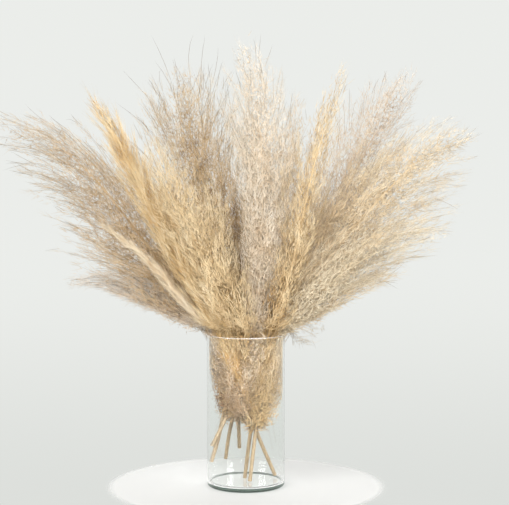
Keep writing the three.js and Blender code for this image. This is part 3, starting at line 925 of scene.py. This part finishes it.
@dataclass
class Vase:
    """The clear glass cylinder. Its sizes are in millimetres.

    Attributes:
        height: the height.
        radius: the outer radius.
        wall: the thickness of the wall, whose rim is a half round.
        base: the thickness of the base.
        foot_round: the radius of the outer round at the foot.
        corner_round: the radius of the inner round at the floor.
        hold: how near to each round a further ring keeps the straight wall straight.
        steps: the faces round the vase.
        foot_steps: the steps of the round at the foot.
        rim_steps: the steps of the round over the rim.
        corner_steps: the steps of the round at the floor.
        foot_share: the share of the base's height that is seen edge on.
        upright: how far a face may turn up or down and still count as edge on.
    """

    height: float = VASE_HEIGHT
    radius: float = VASE_RADIUS
    wall: float = WALL
    base: float = BASE_THICKNESS
    foot_round: float = 5.0
    corner_round: float = 4.0
    hold: float = 0.3
    steps: int = 128
    foot_steps: int = 6
    rim_steps: int = 6
    corner_steps: int = 4
    foot_share: float = 0.95
    upright: float = 0.97

    @staticmethod
    def _arc(middle: Pair, radius: float, turn: Pair, steps: int) -> list[Pair]:
        """Lays points round a middle.

        Args:
            middle: where the middle is.
            radius: how far from it the points lie.
            turn: the angles in degrees of the first and the last point.
            steps: how many steps there are between them.

        Returns:
            The points.
        """
        angles = [math.radians(between(turn, step / steps)) for step in range(steps + 1)]
        return [(middle[0] + radius * math.cos(a), middle[1] + radius * math.sin(a)) for a in angles]

    def _profile(self) -> list[Pair]:
        """Returns the section from the underside's middle round to the floor's middle."""
        inner, half = self.radius - self.wall, self.wall / 2
        foot = (self.radius - self.foot_round, self.foot_round)
        rim = (self.radius - half, self.height - half)
        corner = (inner - self.corner_round, self.base + self.corner_round)
        below_rim = rim[1] - self.hold
        section = [(0.0, 0.0)]
        section += self._arc(foot, self.foot_round, (-90, 0), self.foot_steps)
        section += [(self.radius, z) for z in (self.foot_round + self.hold, self.base, below_rim)]
        section += self._arc(rim, half, (0, 180), self.rim_steps)
        section += [(inner, below_rim), (inner, corner[1] + self.hold)]
        section += self._arc(corner, self.corner_round, (0, -90), self.corner_steps)
        section.append((0.0, self.base))
        return section

    def build(self, wall: GlassFinish, foot: GlassFinish, rim: GlassFinish) -> bpy.types.Object:
        """Spins the section round the axis and dresses the vase.

        Args:
            wall: the glass of the wall.
            foot: the thick glass of the base, seen edge on.
            rim: whiter, rougher and less clear glass over the rim, a painted highlight for the bright
                line along it.

        Returns:
            The vase.
        """
        bm = bmesh.new()
        corners = [bm.verts.new((x * MM, 0, z * MM)) for x, z in self._profile()]
        edges = [bm.edges.new(pair) for pair in zip(corners, corners[1:])]
        bmesh.ops.spin(
            bm, geom=corners + edges, cent=(0, 0, 0), axis=(0, 0, 1), angle=math.tau,
            steps=self.steps, use_merge=True,
        )
        bmesh.ops.remove_doubles(bm, verts=bm.verts[:], dist=WELD)
        bmesh.ops.recalc_face_normals(bm, faces=bm.faces[:])
        mesh = bpy.data.meshes.new("glass_vase")
        bm.to_mesh(mesh)
        bm.free()
        mesh.shade_smooth()
        vase = link("glass_vase", mesh)
        finishes = (wall, foot, rim)
        for finish in finishes:
            mesh.materials.append(finish.material())
        for face in mesh.polygons:
            # The faces over the rim get the painted highlight glass.
            if face.center.z > (self.height - self.wall / 2) * MM:
                face.material_index = finishes.index(rim)
            elif face.center.z < self.foot_share * self.base * MM and abs(face.normal.z) < self.upright:
                face.material_index = finishes.index(foot)
        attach(vase, BODY)
        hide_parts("vase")
        vase.visible_shadow = False
        return vase


@dataclass
class Branches:
    """The branches of one plume, along which the hairs are combed.

    Held are the points of each as (branch, station, xyz), how far out each reaches as a share of
    the plume's half width, and which of its stations are past the rim.
    """

    paths: np.ndarray
    spine: np.ndarray
    share: np.ndarray
    past: np.ndarray


@dataclass(frozen=True)
class Outline:
    """The outline that all plumes share. Lengths are in millimetres.

    Attributes:
        samples: at how many places it is measured.
        first: the share of the girth at the plume's start.
        last: the share of the girth at its tip.
        tip_round: how roundly it narrows; 1 is straight.
        cone: the half width at the very start, and how much that grows with each millimetre.
    """

    samples: int = 200
    first: float = 0.5
    last: float = 0.2
    tip_round: float = 0.6
    cone: Pair = (4.0, 0.4)


@dataclass(frozen=True)
class BranchHabit:
    """How branches grow on every plume. Lengths are in millimetres, angles in radians.

    Pairs are drawn between, unless said otherwise.

    Attributes:
        stations: the points along a branch.
        everywhere: the share of the girth that lets branches end where the plume is thin too.
        density: how closely they end at the plume's start and at its tip.
        overshoot: how far along the plume the last one ends.
        length: its length, as a share of the plan's reach.
        first_length: the length that one may have at the plume's start.
        scatter: how far its side strays from the golden angle.
        outermost: how far out the outermost ends, as a share of the half width.
        outward: below 1, more of them end far out.
        arch: below 1, it leaves the stem early.
        turns: by what angle its wave turns from end to end.
        phase: the largest angle at which that wave starts.
        wave: the height of the wave, as a share of the length.
        free_over: the stretch over which hanging sets in.
        hang: how strongly it hangs, as a share of the plan's.
        rarely: above 1, few branches hang far.
        droop: how the hanging grows along it.
        stiff_tip: how much less those at the plume's tip hang.
        stiff_from: the higher, the nearer the tip that begins.
        limp_zone: between which distances past the rim limp branches end.
        sag: how far down a limp one's end hangs.
        sag_curve: how that grows along it.
    """

    stations: int = 9
    everywhere: float = 0.12
    density: Pair = (1.3, 0.5)
    overshoot: float = 1.02
    length: Pair = (0.6, 1.35)
    first_length: float = 20.0
    scatter: float = 0.3
    outermost: float = 1.13
    outward: float = 0.85
    arch: float = 0.7
    turns: Pair = (3.0, 8.0)
    phase: float = 6.28
    wave: float = 0.05
    free_over: float = 150.0
    hang: Pair = (0.3, 1.8)
    rarely: float = 1.4
    droop: float = 1.6
    stiff_tip: float = 0.85
    stiff_from: int = 5
    limp_zone: Pair = (38.0, 110.0)
    sag: float = 48.0
    sag_curve: float = 1.5


@dataclass(frozen=True)
class HairHabit:
    """How hairs lie along the branches of every plume. Lengths are in millimetres.

    A name that ends in drawn is a pair to draw between; out runs from the stem to the edge of the
    plume, and up from its start to its tip.

    Attributes:
        per_area: hairs on each square millimetre of the outline.
        per_branch: hairs on each branch, on average.
        inner_weight: what is added to a branch's share of the half width to weigh its hairs.
        along: between which shares of the branch they sit.
        endwards: below 1, more sit near the branch's end.
        stray: how far they stray from the branch at most.
        stray_share: the same, as a share of the girth.
        stray_out: how that changes.
        least_angle: the least angle to the branch, in degrees.
        opening_out: how the plan's spread changes.
        opening_pressed: what is added to that where the vase presses the plume.
        length_drawn: the length, as a share of the plan's.
        length_out: how that changes.
        width: the radius at the root.
        width_drawn: what that is multiplied by.
        width_out: how that changes.
        width_up: how that changes.
        puff: how far a hair is shaded as a part of the whole plume.
        puff_ahead: how far that shading looks along the hair.
        scatter: how far the tone of hairs strays.
        branch_scatter: how far the tone of branches strays.
        root_fade: how far the root is faded to the thread's colour.
        fade_out: how far the tip fades at the edge.
        fade_up: how far it fades at the plume's tip.
    """

    per_area: float = 0.33
    per_branch: int = 30
    inner_weight: float = 0.35
    along: Pair = (0.06, 1.0)
    endwards: float = 0.75
    stray: float = 6.0
    stray_share: float = 0.12
    stray_out: Pair = (1.1, 0.3)
    least_angle: float = 5.0
    opening_out: Pair = (1.3, 0.45)
    opening_pressed: float = 0.3
    length_drawn: Pair = (0.55, 1.45)
    length_out: Pair = (0.66, 1.2)
    width: float = 0.3
    width_drawn: Pair = (0.75, 1.25)
    width_out: Pair = (2.1, 0.7)
    width_up: Pair = (1.1, 0.65)
    puff: float = 0.3
    puff_ahead: float = 0.25
    scatter: float = 0.05
    branch_scatter: float = 0.06
    root_fade: float = 0.04
    fade_out: float = 0.2
    fade_up: float = 0.35


@dataclass(frozen=True)
class ToneHabit:
    """How light the fluff is, from 0 for deep to 1 for light; by the stem it is darker partly as its own
    colour and partly as painted shade.

    Attributes:
        start: the tone by the stem at the plume's start.
        out: what is added at the edge.
        up: what is added at the plume's tip.
        pressed: what is taken off where the vase presses the plume, a painted shade for the crowded fluff
            in and just above the vase.
        patches: how strong slow patches are.
        patches_pressed: what is added to that where the vase presses the plume.
        patch: the size of a patch in millimetres.
        waves: how many waves make the patches.
        contrast: how strongly the waves' mean is taken.
    """

    start: float = 0.1
    out: float = 0.5
    up: float = 0.24
    pressed: float = 0.47
    patches: float = 0.26
    patches_pressed: float = 0.06
    patch: float = 8.0
    waves: int = 6
    contrast: float = 1.8


@dataclass(frozen=True)
class CoreHabit:
    """How the down round each plume's axis lies.

    Attributes:
        along: between which shares of the plume it runs.
        closed: at which share of the plume it would have thinned to nothing.
        least: its least radius in millimetres, at its start.
        taper: how much thinner that is at the plume's tip.
        lumps: between which shares of the radius its points are drawn.
        out: how far out its tone is taken from.
        scatter: how far the tone strays.
        fade: how far it is faded to the thread's colour.
    """

    along: Pair = (0.03, 0.85)
    closed: float = 0.95
    least: float = 2.4
    taper: float = 0.9
    lumps: Pair = (0.8, 1.2)
    out: float = 0.5
    scatter: float = 0.06
    fade: float = 0.02


@dataclass(frozen=True)
class ThreadHabit:
    """How the bare twigs and threads at the edge of each plume lie. Lengths are in millimetres.

    Attributes:
        twigs_from: how far out a branch ends whose twig is bare, as a share of the half width.
        twig_width: between which radii a twig is drawn.
        twig_profile: the share of the radius at each of its stations.
        twig_tone: its tone.
        twig_fade: how far its root and its tip are faded to the thread's colour.
        threads_from: how far out a branch with threads ends.
        above_rim: how far above the rim it ends at least.
        second_part: the share of the plume past which threads grow.
        tilt: how far a thread strays from its branch's line.
        length_drawn: its length, as a share of the plan's.
        rarely: above 1, few of them are long.
        bend: how far it bends.
        droop: how far it bends down.
        overlap: how far it begins before the branch's end.
        width: between which radii it is drawn.
        profile: the share of the radius at each of its stations.
        tone: between which tones it is drawn.
        fade: how far its root and its tip are faded to the thread's colour.
    """

    twigs_from: float = 0.62
    twig_width: Pair = (0.17, 0.25)
    twig_profile: tuple[float, ...] = (0.6, 1.0, 0.95, 0.8, 0.0)
    twig_tone: float = 0.4
    twig_fade: Pair = (0.45, 0.85)
    threads_from: float = 0.5
    above_rim: float = 40.0
    second_part: float = 0.5
    tilt: float = 0.18
    length_drawn: Pair = (0.5, 1.5)
    rarely: float = 1.5
    bend: float = 0.12
    droop: float = 0.05
    overlap: float = 8.0
    width: Pair = (0.19, 0.28)
    profile: tuple[float, ...] = (0.9, 1.0, 0.8, 0.0)
    tone: Pair = (0.3, 0.6)
    fade: Pair = (0.6, 0.98)


def tinted(strand: Strand, tones: np.ndarray, fades: np.ndarray) -> np.ndarray:
    """Returns the bake coordinates of copies of a strand, kept inside the map.

    Args:
        strand: the strand.
        tones: the tones across the map, as (copy, 1) or (copy, vertex).
        fades: the fades up the map, as (copy, vertex).

    Returns:
        The two coordinates of each vertex, as (copy, vertex, 2).
    """
    tint = np.empty((len(tones), len(strand.spots), 2))
    tint[..., 0] = tones
    tint[..., 1] = fades
    return np.clip(tint, MAP_EDGE, 1 - MAP_EDGE)


@dataclass
class Plume:
    """The plume of one stem: the down round its axis, its twigs, its combed fluff and its threads."""

    axis: StemAxis
    number: int
    strands: dict[str, Strand]
    outline: Outline = Outline()
    branch: BranchHabit = BranchHabit()
    hair: HairHabit = HairHabit()
    tone: ToneHabit = ToneHabit()
    core: CoreHabit = CoreHabit()
    thread: ThreadHabit = ThreadHabit()

    def __post_init__(self) -> None:
        """Seeds the plume's own draws and measures its head."""
        self.plan = self.axis.plan
        self.dice = np.random.default_rng(FIRST_SEED + self.number)
        self.start = self.plan.bare - self.plan.below
        self.head = self.axis.run[-1] - self.start
        self.rim = self.axis.run[STEPS_PER_SPAN * RIM_STOP]
        self.waves = self.dice.normal(0, 1 / self.tone.patch, (self.tone.waves, 3))
        self.phases = math.tau * self.dice.random(self.tone.waves)

    def _half_width(self, v: np.ndarray) -> np.ndarray:
        """Gives the half width of the fluff.

        Args:
            v: places along the plume, from 0 at its start to 1 at its tip.

        Returns:
            The half width at each place, in millimetres: a cone at the start, pressed in the
            vase, and free above it.
        """
        plan, outline = self.plan, self.outline
        rise = between((outline.first, 1), np.sin(0.5 * math.pi * np.clip(v / plan.crown, 0, 1)))
        left = np.clip((1 - v) / (1 - plan.crown), 0, 1)
        fall = between((outline.last, 1), left**outline.tip_round)
        run = v * self.head
        cone = outline.cone[0] + outline.cone[1] * np.maximum(run, 0)
        past = self.start + run - self.rim
        room = np.where(past < 0, plan.room, plan.mouth + plan.flare * past)
        free = plan.girth * rise * np.where(v < plan.crown, 1, fall)
        return np.minimum(free, np.minimum(cone, room))

    def _ends(self, count: int) -> np.ndarray:
        """Returns where the branches end, closer together where the plume is wide."""
        habit = self.branch
        v = np.linspace(0, 1, self.outline.samples)
        weight = self._half_width(v) + habit.everywhere * self.plan.girth
        rank = np.cumsum(weight * between(habit.density, v))
        rank = (rank - rank[0]) / (rank[-1] - rank[0])
        return np.interp((np.arange(count) + 0.5) / count, rank, v) * habit.overshoot

    def _branches(self, count: int) -> Branches:
        """Lays out the branches, which run along the stem and arch out of it.

        Args:
            count: how many there are.

        Returns:
            The branches.
        """
        plan, dice, habit = self.plan, self.dice, self.branch
        v_end = self._ends(count)
        s_end = self.start + v_end * self.head
        length = plan.reach * between(habit.length, dice.random(count))
        length = np.minimum(length, habit.first_length + s_end - self.start)
        t = np.linspace(0, 1, habit.stations)
        s = np.maximum(s_end[:, None] - length[:, None] * (1 - t), self.start)
        spine = self.axis.at(s)
        ahead = unit(np.gradient(spine, axis=1))
        side = beside(ahead)
        angle = np.arange(count) * GOLDEN_ANGLE + self.number + dice.normal(0, habit.scatter, count)
        angle = angle[:, None, None]
        outward = side * np.cos(angle) + np.cross(side, ahead) * np.sin(angle)
        share = habit.outermost * dice.random(count) ** habit.outward
        reach = self._half_width(v_end) * share
        wave = t * between(habit.turns, dice.random((count, 1))) + habit.phase * dice.random((count, 1))
        wave = np.sin(wave) * t * habit.wave * length[:, None]
        paths = spine + outward * (reach[:, None] * t**habit.arch)[..., None]
        paths = paths + np.cross(outward, ahead) * wave[..., None]
        hang = between(habit.hang, dice.random(count) ** habit.rarely) * self._freedom(v_end)
        paths = paths + np.array(plan.hang) * (hang[:, None] * t**habit.droop)[..., None]
        past = s > self.rim
        paths = MOUTH.carry(paths, past)
        if plan.limp:
            on = s_end - self.rim
            near = (on > habit.limp_zone[0]) & (on < habit.limp_zone[1])
            limp = near & (dice.random(count) < plan.limp)
            paths[limp, :, 2] -= habit.sag * t**habit.sag_curve
        return Branches(MOUTH.clear(paths, past), spine, share, past)

    def _freedom(self, v_end: np.ndarray) -> np.ndarray:
        """Returns how free the branches that end at these places are to hang, from 0 to 1."""
        habit = self.branch
        past = self.start + v_end * self.head - self.rim - self.plan.fall_from
        stiff = habit.stiff_tip * np.clip(v_end, 0, 1) ** habit.stiff_from
        return np.clip(past / habit.free_over, 0, 1) * (1 - stiff)

    def _hairs(self, tangle: Tangle, branches: Branches, count: int) -> None:
        """Combs the hairs along the branches.

        Args:
            tangle: what collects them.
            branches: the branches.
            count: how many hairs there are.
        """
        dice, plan, habit = self.dice, self.plan, self.hair
        paths, share = branches.paths, branches.share
        weight = np.linalg.norm(np.diff(paths, axis=1), axis=2).sum(1) * (habit.inner_weight + share)
        branch = dice.choice(len(paths), count, p=weight / weight.sum())
        t = between(habit.along, dice.random(count) ** habit.endwards)
        spans = paths.shape[1] - 1
        slot = np.minimum((t * spans).astype(int), spans - 1)
        part = (t * spans - slot)[:, None]
        out = share[branch] * t
        near = np.clip(out, 0, 1)
        start = paths[branch, slot] * (1 - part) + paths[branch, slot + 1] * part
        stray = min(habit.stray, habit.stray_share * plan.girth) * between(habit.stray_out, near)
        start = start + dice.normal(0, 1, (count, 3)) * stray[:, None]
        root = branches.spine[branch, slot] * (1 - part) + branches.spine[branch, slot + 1] * part
        ahead = unit(paths[branch, slot + 1] - paths[branch, slot])
        side = unit(dice.normal(size=(count, 3)))
        side = unit(side - (side * ahead).sum(1, keepdims=True) * ahead)
        wide = between(habit.opening_out, near) + habit.opening_pressed * MOUTH.pressed(start)
        angle = np.radians(habit.least_angle + plan.spread * wide * dice.random(count))[:, None]
        heading = ahead * np.cos(angle) + side * np.sin(angle)
        length = plan.hair * between(habit.length_drawn, dice.random(count))
        length = length * between(habit.length_out, near)
        up = (branch + 1) / len(paths)
        ends = np.stack([start, start + heading * length[:, None]], axis=1)
        ends = MOUTH.clear(ends, branches.past[branch, slot][:, None].repeat(2, axis=1))
        width = habit.width * between(habit.width_drawn, dice.random(count))
        width = width * between(habit.width_out, near) * between(habit.width_up, up**2)
        strand = self.strands["hair"]
        vertices, facing = strand.along(ends, width, np.array([1.0, 0.0]))
        puff = habit.puff * unit(start - root) + habit.puff_ahead * heading
        facing = puff[:, None] + (1 - habit.puff) * facing
        tone = self._tone(start, out, up) + dice.normal(0, habit.scatter, count)
        tone += dice.normal(0, habit.branch_scatter, len(paths))[branch]
        fade = habit.fade_out * near**4 + habit.fade_up * up**3
        fade = habit.root_fade + strand.spots[:, 2] * fade[:, None]
        tangle.add(strand, vertices, facing, tinted(strand, tone[:, None], fade))

    def _tone(self, spots: np.ndarray, out: np.ndarray, up: np.ndarray) -> np.ndarray:
        """Works out how light the fluff is, with slow patches: darker by the stem, partly as its own
        colour and partly as painted shade, and darker still as painted shade where the vase presses it.

        Args:
            spots: places in the fluff.
            out: how far out each is, as a share of the half width.
            up: how far along the plume each is, from 0 to 1.

        Returns:
            The tone of each place, from 0 for deep to 1 for light.
        """
        habit = self.tone
        pressed = MOUTH.pressed(spots)
        # Darker by the stem and lighter at the edge: partly the fluff's own colour, partly painted shade
        # deep in the plume.
        tone = habit.start + self.plan.pale * (1 - pressed) + habit.out * out + habit.up * up
        patches = habit.contrast * np.sin(spots @ self.waves.T + self.phases).mean(1)
        strength = habit.patches + habit.patches_pressed * pressed
        # Painted shade: the fluff is darker where the vase presses it.
        return tone - habit.pressed * pressed + strength * patches

    def _core(self, tangle: Tangle) -> None:
        """Adds the down round the axis, which closes the plume behind its hairs.

        Args:
            tangle: what collects it.
        """
        dice, habit, strand = self.dice, self.core, self.strands["core"]
        v = np.linspace(*habit.along, strand.spans + 1)
        s = self.start + v * self.head
        spine = self.axis.at(s)[None]
        girth = self.plan.core * self._half_width(v) * (1 - (v / habit.closed) ** 2)
        girth = np.maximum(girth, habit.least * (1 - habit.taper * np.sqrt(v)))
        vertices, facing = strand.along(spine, np.ones(1), girth)
        middle = spine[:, strand.station]
        lumps = between(habit.lumps, dice.random(len(strand.station)))
        vertices = middle + (vertices - middle) * lumps[:, None]
        vertices = MOUTH.clear(vertices, (s > self.rim)[strand.station][None])
        tone = self._tone(vertices[0], habit.out, strand.spots[:, 2])
        tone = tone + dice.normal(0, habit.scatter, len(tone))
        tangle.add(strand, vertices, facing, tinted(strand, tone[None], habit.fade))

    def _twigs(self, tangle: Tangle, branches: Branches) -> None:
        """Adds the thin dark branches themselves, where they show towards the edge.

        Args:
            tangle: what collects them.
            branches: the branches.
        """
        habit, strand = self.thread, self.strands["twig"]
        paths = branches.paths[branches.share > habit.twigs_from, -1 - strand.spans:]
        width = between(habit.twig_width, self.dice.random(len(paths)))
        vertices, facing = strand.along(paths, width, np.array(habit.twig_profile))
        tone = np.full((len(paths), 1), habit.twig_tone)
        fade = between(habit.twig_fade, strand.spots[:, 2])
        tangle.add(strand, vertices, facing, tinted(strand, tone, fade))

    def _threads(self, tangle: Tangle, branches: Branches) -> None:
        """Adds the bare thread tips that run on past the ends of outer branches.

        Args:
            tangle: what collects them.
            branches: the branches.
        """
        dice, habit, strand, count = self.dice, self.thread, self.strands["thread"], self.plan.threads
        if not count:
            return
        paths = branches.paths
        high = paths[:, -1, 2] > VASE_HEIGHT + habit.above_rim
        late = np.arange(len(paths)) > habit.second_part * len(paths)
        branch = dice.choice(np.flatnonzero((branches.share > habit.threads_from) & high & late), count)
        ahead = unit(paths[branch, -1] - paths[branch, -3])
        ahead = unit(ahead + dice.normal(0, habit.tilt, (count, 3)))
        length = self.plan.thread_length * between(habit.length_drawn, dice.random(count) ** habit.rarely)
        bend = dice.normal(0, habit.bend, (count, 3)) - np.array([0, 0, habit.droop])
        t = np.linspace(0, 1, strand.spans + 1)
        start = paths[branch, -1] - ahead * habit.overlap
        points = start[:, None] + ahead[:, None] * (length[:, None] * t)[..., None]
        points = points + bend[:, None] * (length[:, None] * t**2)[..., None]
        width = between(habit.width, dice.random(count))
        vertices, facing = strand.along(points, width, np.array(habit.profile))
        tone = between(habit.tone, dice.random(count))[:, None]
        fade = between(habit.fade, strand.spots[:, 2])
        tangle.add(strand, vertices, facing, tinted(strand, tone, fade))

    def build(self) -> bpy.types.Object:
        """Builds the fluff.

        Returns:
            The fluff as one object.
        """
        tangle = Tangle()
        area = 2 * self._half_width(np.linspace(0, 1, self.outline.samples)).mean() * self.head
        hairs = int(self.hair.per_area * area * self.plan.thickness)
        branches = self._branches(hairs // self.hair.per_branch)
        self._core(tangle)
        self._twigs(tangle, branches)
        self._hairs(tangle, branches, hairs)
        self._threads(tangle, branches)
        name = f"fluff_{self.plan.name}"
        return link(name, tangle.mesh(name))


@dataclass
class Culm:
    """The straw culm of one stem, which thins to the plume's fine axis.

    Attributes:
        axis: the stem's axis.
        end: the share of the stem that it runs up.
        bare_rings: the rings of its bare part.
        head_rings: the rings of its part in the plume.
        overlap: how far into the plume the bare part's rings reach, in millimetres.
        thinning: how much of the radius is lost by its end.
        early: below 1, most of that is lost soon.
        nodes: the shares of the bare part where it has its thick nodes.
        node_rise: how far a node stands out, in millimetres.
        node_length: about half its length, in millimetres.
        sides: how round it is, as a bevel resolution.
    """

    axis: StemAxis
    end: float = 0.55
    bare_rings: int = 50
    head_rings: int = 30
    overlap: float = 10.0
    thinning: float = 0.9
    early: float = 0.45
    nodes: Pair = (0.32, 0.78)
    node_rise: float = 0.4
    node_length: float = 1.6
    sides: int = 3

    def _radii(self, s: np.ndarray, end: float) -> np.ndarray:
        """Returns the radii at the distances s up to the end, with the thick nodes."""
        bare = self.axis.plan.bare
        thin = np.clip((s - bare) / (end - bare), 0, 1)
        radii = CULM_RADIUS * (1 - self.thinning * thin**self.early)
        for node in self.nodes:
            radii += self.node_rise * np.exp(-(((s - node * bare) / self.node_length) ** 2))
        return radii

    def build(self) -> bpy.types.Object:
        """Builds the culm as one tapered tube.

        Returns:
            The culm as one object.
        """
        name = f"culm_{self.axis.plan.name}"
        curve = bpy.data.curves.new(name, "CURVE")
        curve.dimensions = "3D"
        curve.bevel_depth = MM
        curve.bevel_resolution = self.sides
        curve.use_fill_caps = True
        bare, end = self.axis.plan.bare, self.axis.run[-1] * self.end
        low = np.linspace(0, bare + self.overlap, self.bare_rings)
        s = np.concatenate([low, np.linspace(bare + 2 * self.overlap, end, self.head_rings)])
        spots = self.axis.at(s)
        spots[0] = self.axis.points[0]
        spline = curve.splines.new("POLY")
        spline.points.add(len(s) - 1)
        for point, spot, radius in zip(spline.points, spots, self._radii(s, end)):
            point.co = (*(spot * MM), 1)
            point.radius = radius
        rough = link(name + "_curve", curve)
        depsgraph = bpy.context.evaluated_depsgraph_get()
        mesh = bpy.data.meshes.new_from_object(rough.evaluated_get(depsgraph))
        bpy.data.objects.remove(rough)
        mesh.name = name
        mesh.shade_smooth()
        return link(name, mesh)


def dress(piece: bpy.types.Object, plan: StemPlan, material: bpy.types.Material) -> None:
    """Dresses a piece of a stem and sets it on the frame.

    Args:
        piece: the piece.
        plan: its stem.
        material: its material.
    """
    piece.data.materials.clear()
    piece.data.materials.append(material)
    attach(piece, BODY)
    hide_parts(f"plume_{plan.name}")
    LOG.info("%s: %d faces", piece.name, len(piece.data.polygons))


@dataclass
class Studio:
    """The plain pale surroundings: the floor, the sky, the soft lights and the camera.

    Lengths are in metres.

    Attributes:
        camera_spot: where the camera is.
        pitch: how far it looks down, in degrees.
        focal_pixels: its focal length, in pixels of the picture.
        picture_width: the picture's width in pixels.
        sensor: the camera's sensor width in millimetres.
        floor_radius: the radius of the floor.
        floor_sides: how many straight sides it has.
        floor_lift: how far it lies above the vase's underside.
        floor_colour: its colour.
        floor_roughness: its roughness.
        floor_fade: the shares of the radius between which it turns clear.
        backdrop: the colour of the sky behind the bundle.
        backdrop_low: its colour low down.
        horizon: how far a look falls where the sky is darkest, and where it begins to darken.
        bundle_middle: what the lights face.
        lights: the name, place, side in metres and power in watts of each light.
    """

    camera_spot: Point = (0.0132, -2.1, 0.472)
    pitch: float = 3.05
    focal_pixels: float = 1371.0
    picture_width: int = 509
    sensor: float = 36.0
    floor_radius: float = 0.222
    floor_sides: int = 96
    floor_lift: float = 0.0002
    floor_colour: Colour = (0.45, 0.45, 0.445)
    floor_roughness: float = 0.9
    floor_fade: Pair = (0.9, 0.99)
    backdrop: Colour = (0.832, 0.848, 0.822)
    backdrop_low: Colour = (0.72, 0.738, 0.71)
    horizon: Pair = (-0.24, -0.055)
    bundle_middle: Point = (0, 0, 0.35)
    lights: tuple[tuple[str, Point, float, float], ...] = (
        ("key", (-1.6, -2.2, 2.4), 2.4, 80),
        ("front", (0.2, -2.6, 1.5), 1.6, 60),
        ("low_left", (-2.2, -1.7, 0.7), 1.1, 38),
        ("low_right", (2.2, -1.7, 0.7), 1.1, 54),
        ("back", (0.4, 1.9, 2.6), 2.4, 50),
    )

    def _floor(self) -> None:
        """Lays a plain pale floor.

        It lies a trace above the vase's underside, so that the glass of the base shows it.
        """
        bm = bmesh.new()
        lift = Matrix.Translation((0, 0, self.floor_lift))
        bmesh.ops.create_circle(
            bm, cap_ends=True, segments=self.floor_sides, radius=self.floor_radius, matrix=lift
        )
        mesh = bpy.data.meshes.new("pale_floor")
        bm.to_mesh(mesh)
        bm.free()
        floor = link("pale_floor", mesh)
        mesh.materials.append(self._floor_material())

    def _floor_material(self) -> bpy.types.Material:
        """Makes the floor's material.

        Returns:
            A matt white that turns clear towards the floor's edge.
        """
        material = bpy.data.materials.new("pale_floor")
        recipe = Recipe(material)
        shader = recipe.tree.nodes["Principled BSDF"]
        recipe.fill(shader, {"Base Color": (*self.floor_colour, 1), "Roughness": self.floor_roughness})
        place = recipe.add("TexCoord")
        away = recipe.add("VectorMath")
        away.operation = "LENGTH"
        recipe.join(place, "Object", away, 0)
        clear_from, clear_at = (share * self.floor_radius for share in self.floor_fade)
        fade = recipe.add("MapRange", {"From Min": clear_from, "From Max": clear_at})
        recipe.fill(fade, {"To Min": 1, "To Max": 0})
        fade.interpolation_type = "SMOOTHERSTEP"
        recipe.join(away, "Value", fade, "Value")
        recipe.join(fade, "Result", shader, "Alpha")
        return material

    def _sky(self) -> None:
        """Sets the sky, a plain backdrop that is a little darker low down."""
        world = bpy.data.worlds.new("studio")
        bpy.context.scene.world = world
        recipe = Recipe(world)
        place = recipe.add("TexCoord")
        parts = recipe.add("SeparateXYZ")
        recipe.join(place, "Generated", parts, "Vector")
        low, high = self.horizon
        height = recipe.add("MapRange", {"From Min": low, "From Max": high})
        height.interpolation_type = "SMOOTHSTEP"
        recipe.join(parts, "Z", height, "Value")
        shade = recipe.ramp((0, self.backdrop_low), (1, self.backdrop))
        recipe.join(height, "Result", shade, "Fac")
        recipe.join(shade, "Color", recipe.tree.nodes["Background"], "Color")

    def _light(self, name: str, spot: Point, size: float, power: float) -> None:
        """Adds a soft square light that faces the bundle.

        Args:
            name: its name.
            spot: where it is.
            size: its side in metres.
            power: its power in watts.
        """
        lamp = bpy.data.lights.new(name, "AREA")
        lamp.size = size
        lamp.energy = power
        light = link(name, lamp)
        light.location = spot
        aim = Vector(self.bundle_middle) - Vector(spot)
        light.rotation_euler = aim.to_track_quat("-Z", "Y").to_euler()

    def _camera(self) -> None:
        """Sets the camera at the photograph's viewing angle."""
        data = bpy.data.cameras.new("camera")
        data.sensor_width = self.sensor
        data.lens = self.focal_pixels * self.sensor / self.picture_width
        camera = link("camera", data)
        camera.location = self.camera_spot
        camera.rotation_euler = (math.radians(90 - self.pitch), 0, 0)
        bpy.context.scene.camera = camera

    def build(self) -> None:
        """Builds the studio."""
        bpy.context.scene.view_settings.view_transform = "Standard"
        self._camera()
        self._floor()
        self._sky()
        for light in self.lights:
            self._light(*light)


def main() -> None:
    """Builds the studio, the vase and every stem in turn."""
    logging.basicConfig(level=logging.INFO)
    Studio().build()
    foot = GlassFinish("vase_foot_glass", tint=(0.03, 0.05, 0.038))
    # The rim's glass is whiter, rougher and less clear than the wall's: a painted highlight for the
    # bright line along the rim.
    rim = GlassFinish("vase_rim_painted_highlight", tint=(0.92, 0.92, 0.90), clearness=0.7, roughness=0.15)
    vase = Vase().build(GlassFinish(), foot, rim)
    LOG.info("%s: %d faces", vase.name, len(vase.data.polygons))
    bundle = Bundle(STEMS)
    fluff = {finish.tone: finish.material() for finish in FINISHES}
    straw = StrawFinish().material()
    strands = {
        "hair": Strand(sides=3, spans=1),
        "twig": Strand(sides=3, spans=4),
        "thread": Strand(sides=3, spans=3),
        "core": Strand(sides=12, spans=44),
    }
    for number, axis in enumerate(bundle.axes):
        dress(Plume(axis, number, strands).build(), axis.plan, fluff[axis.plan.tone])
        dress(Culm(axis).build(), axis.plan, straw)


if __name__ == "__main__":
    main()
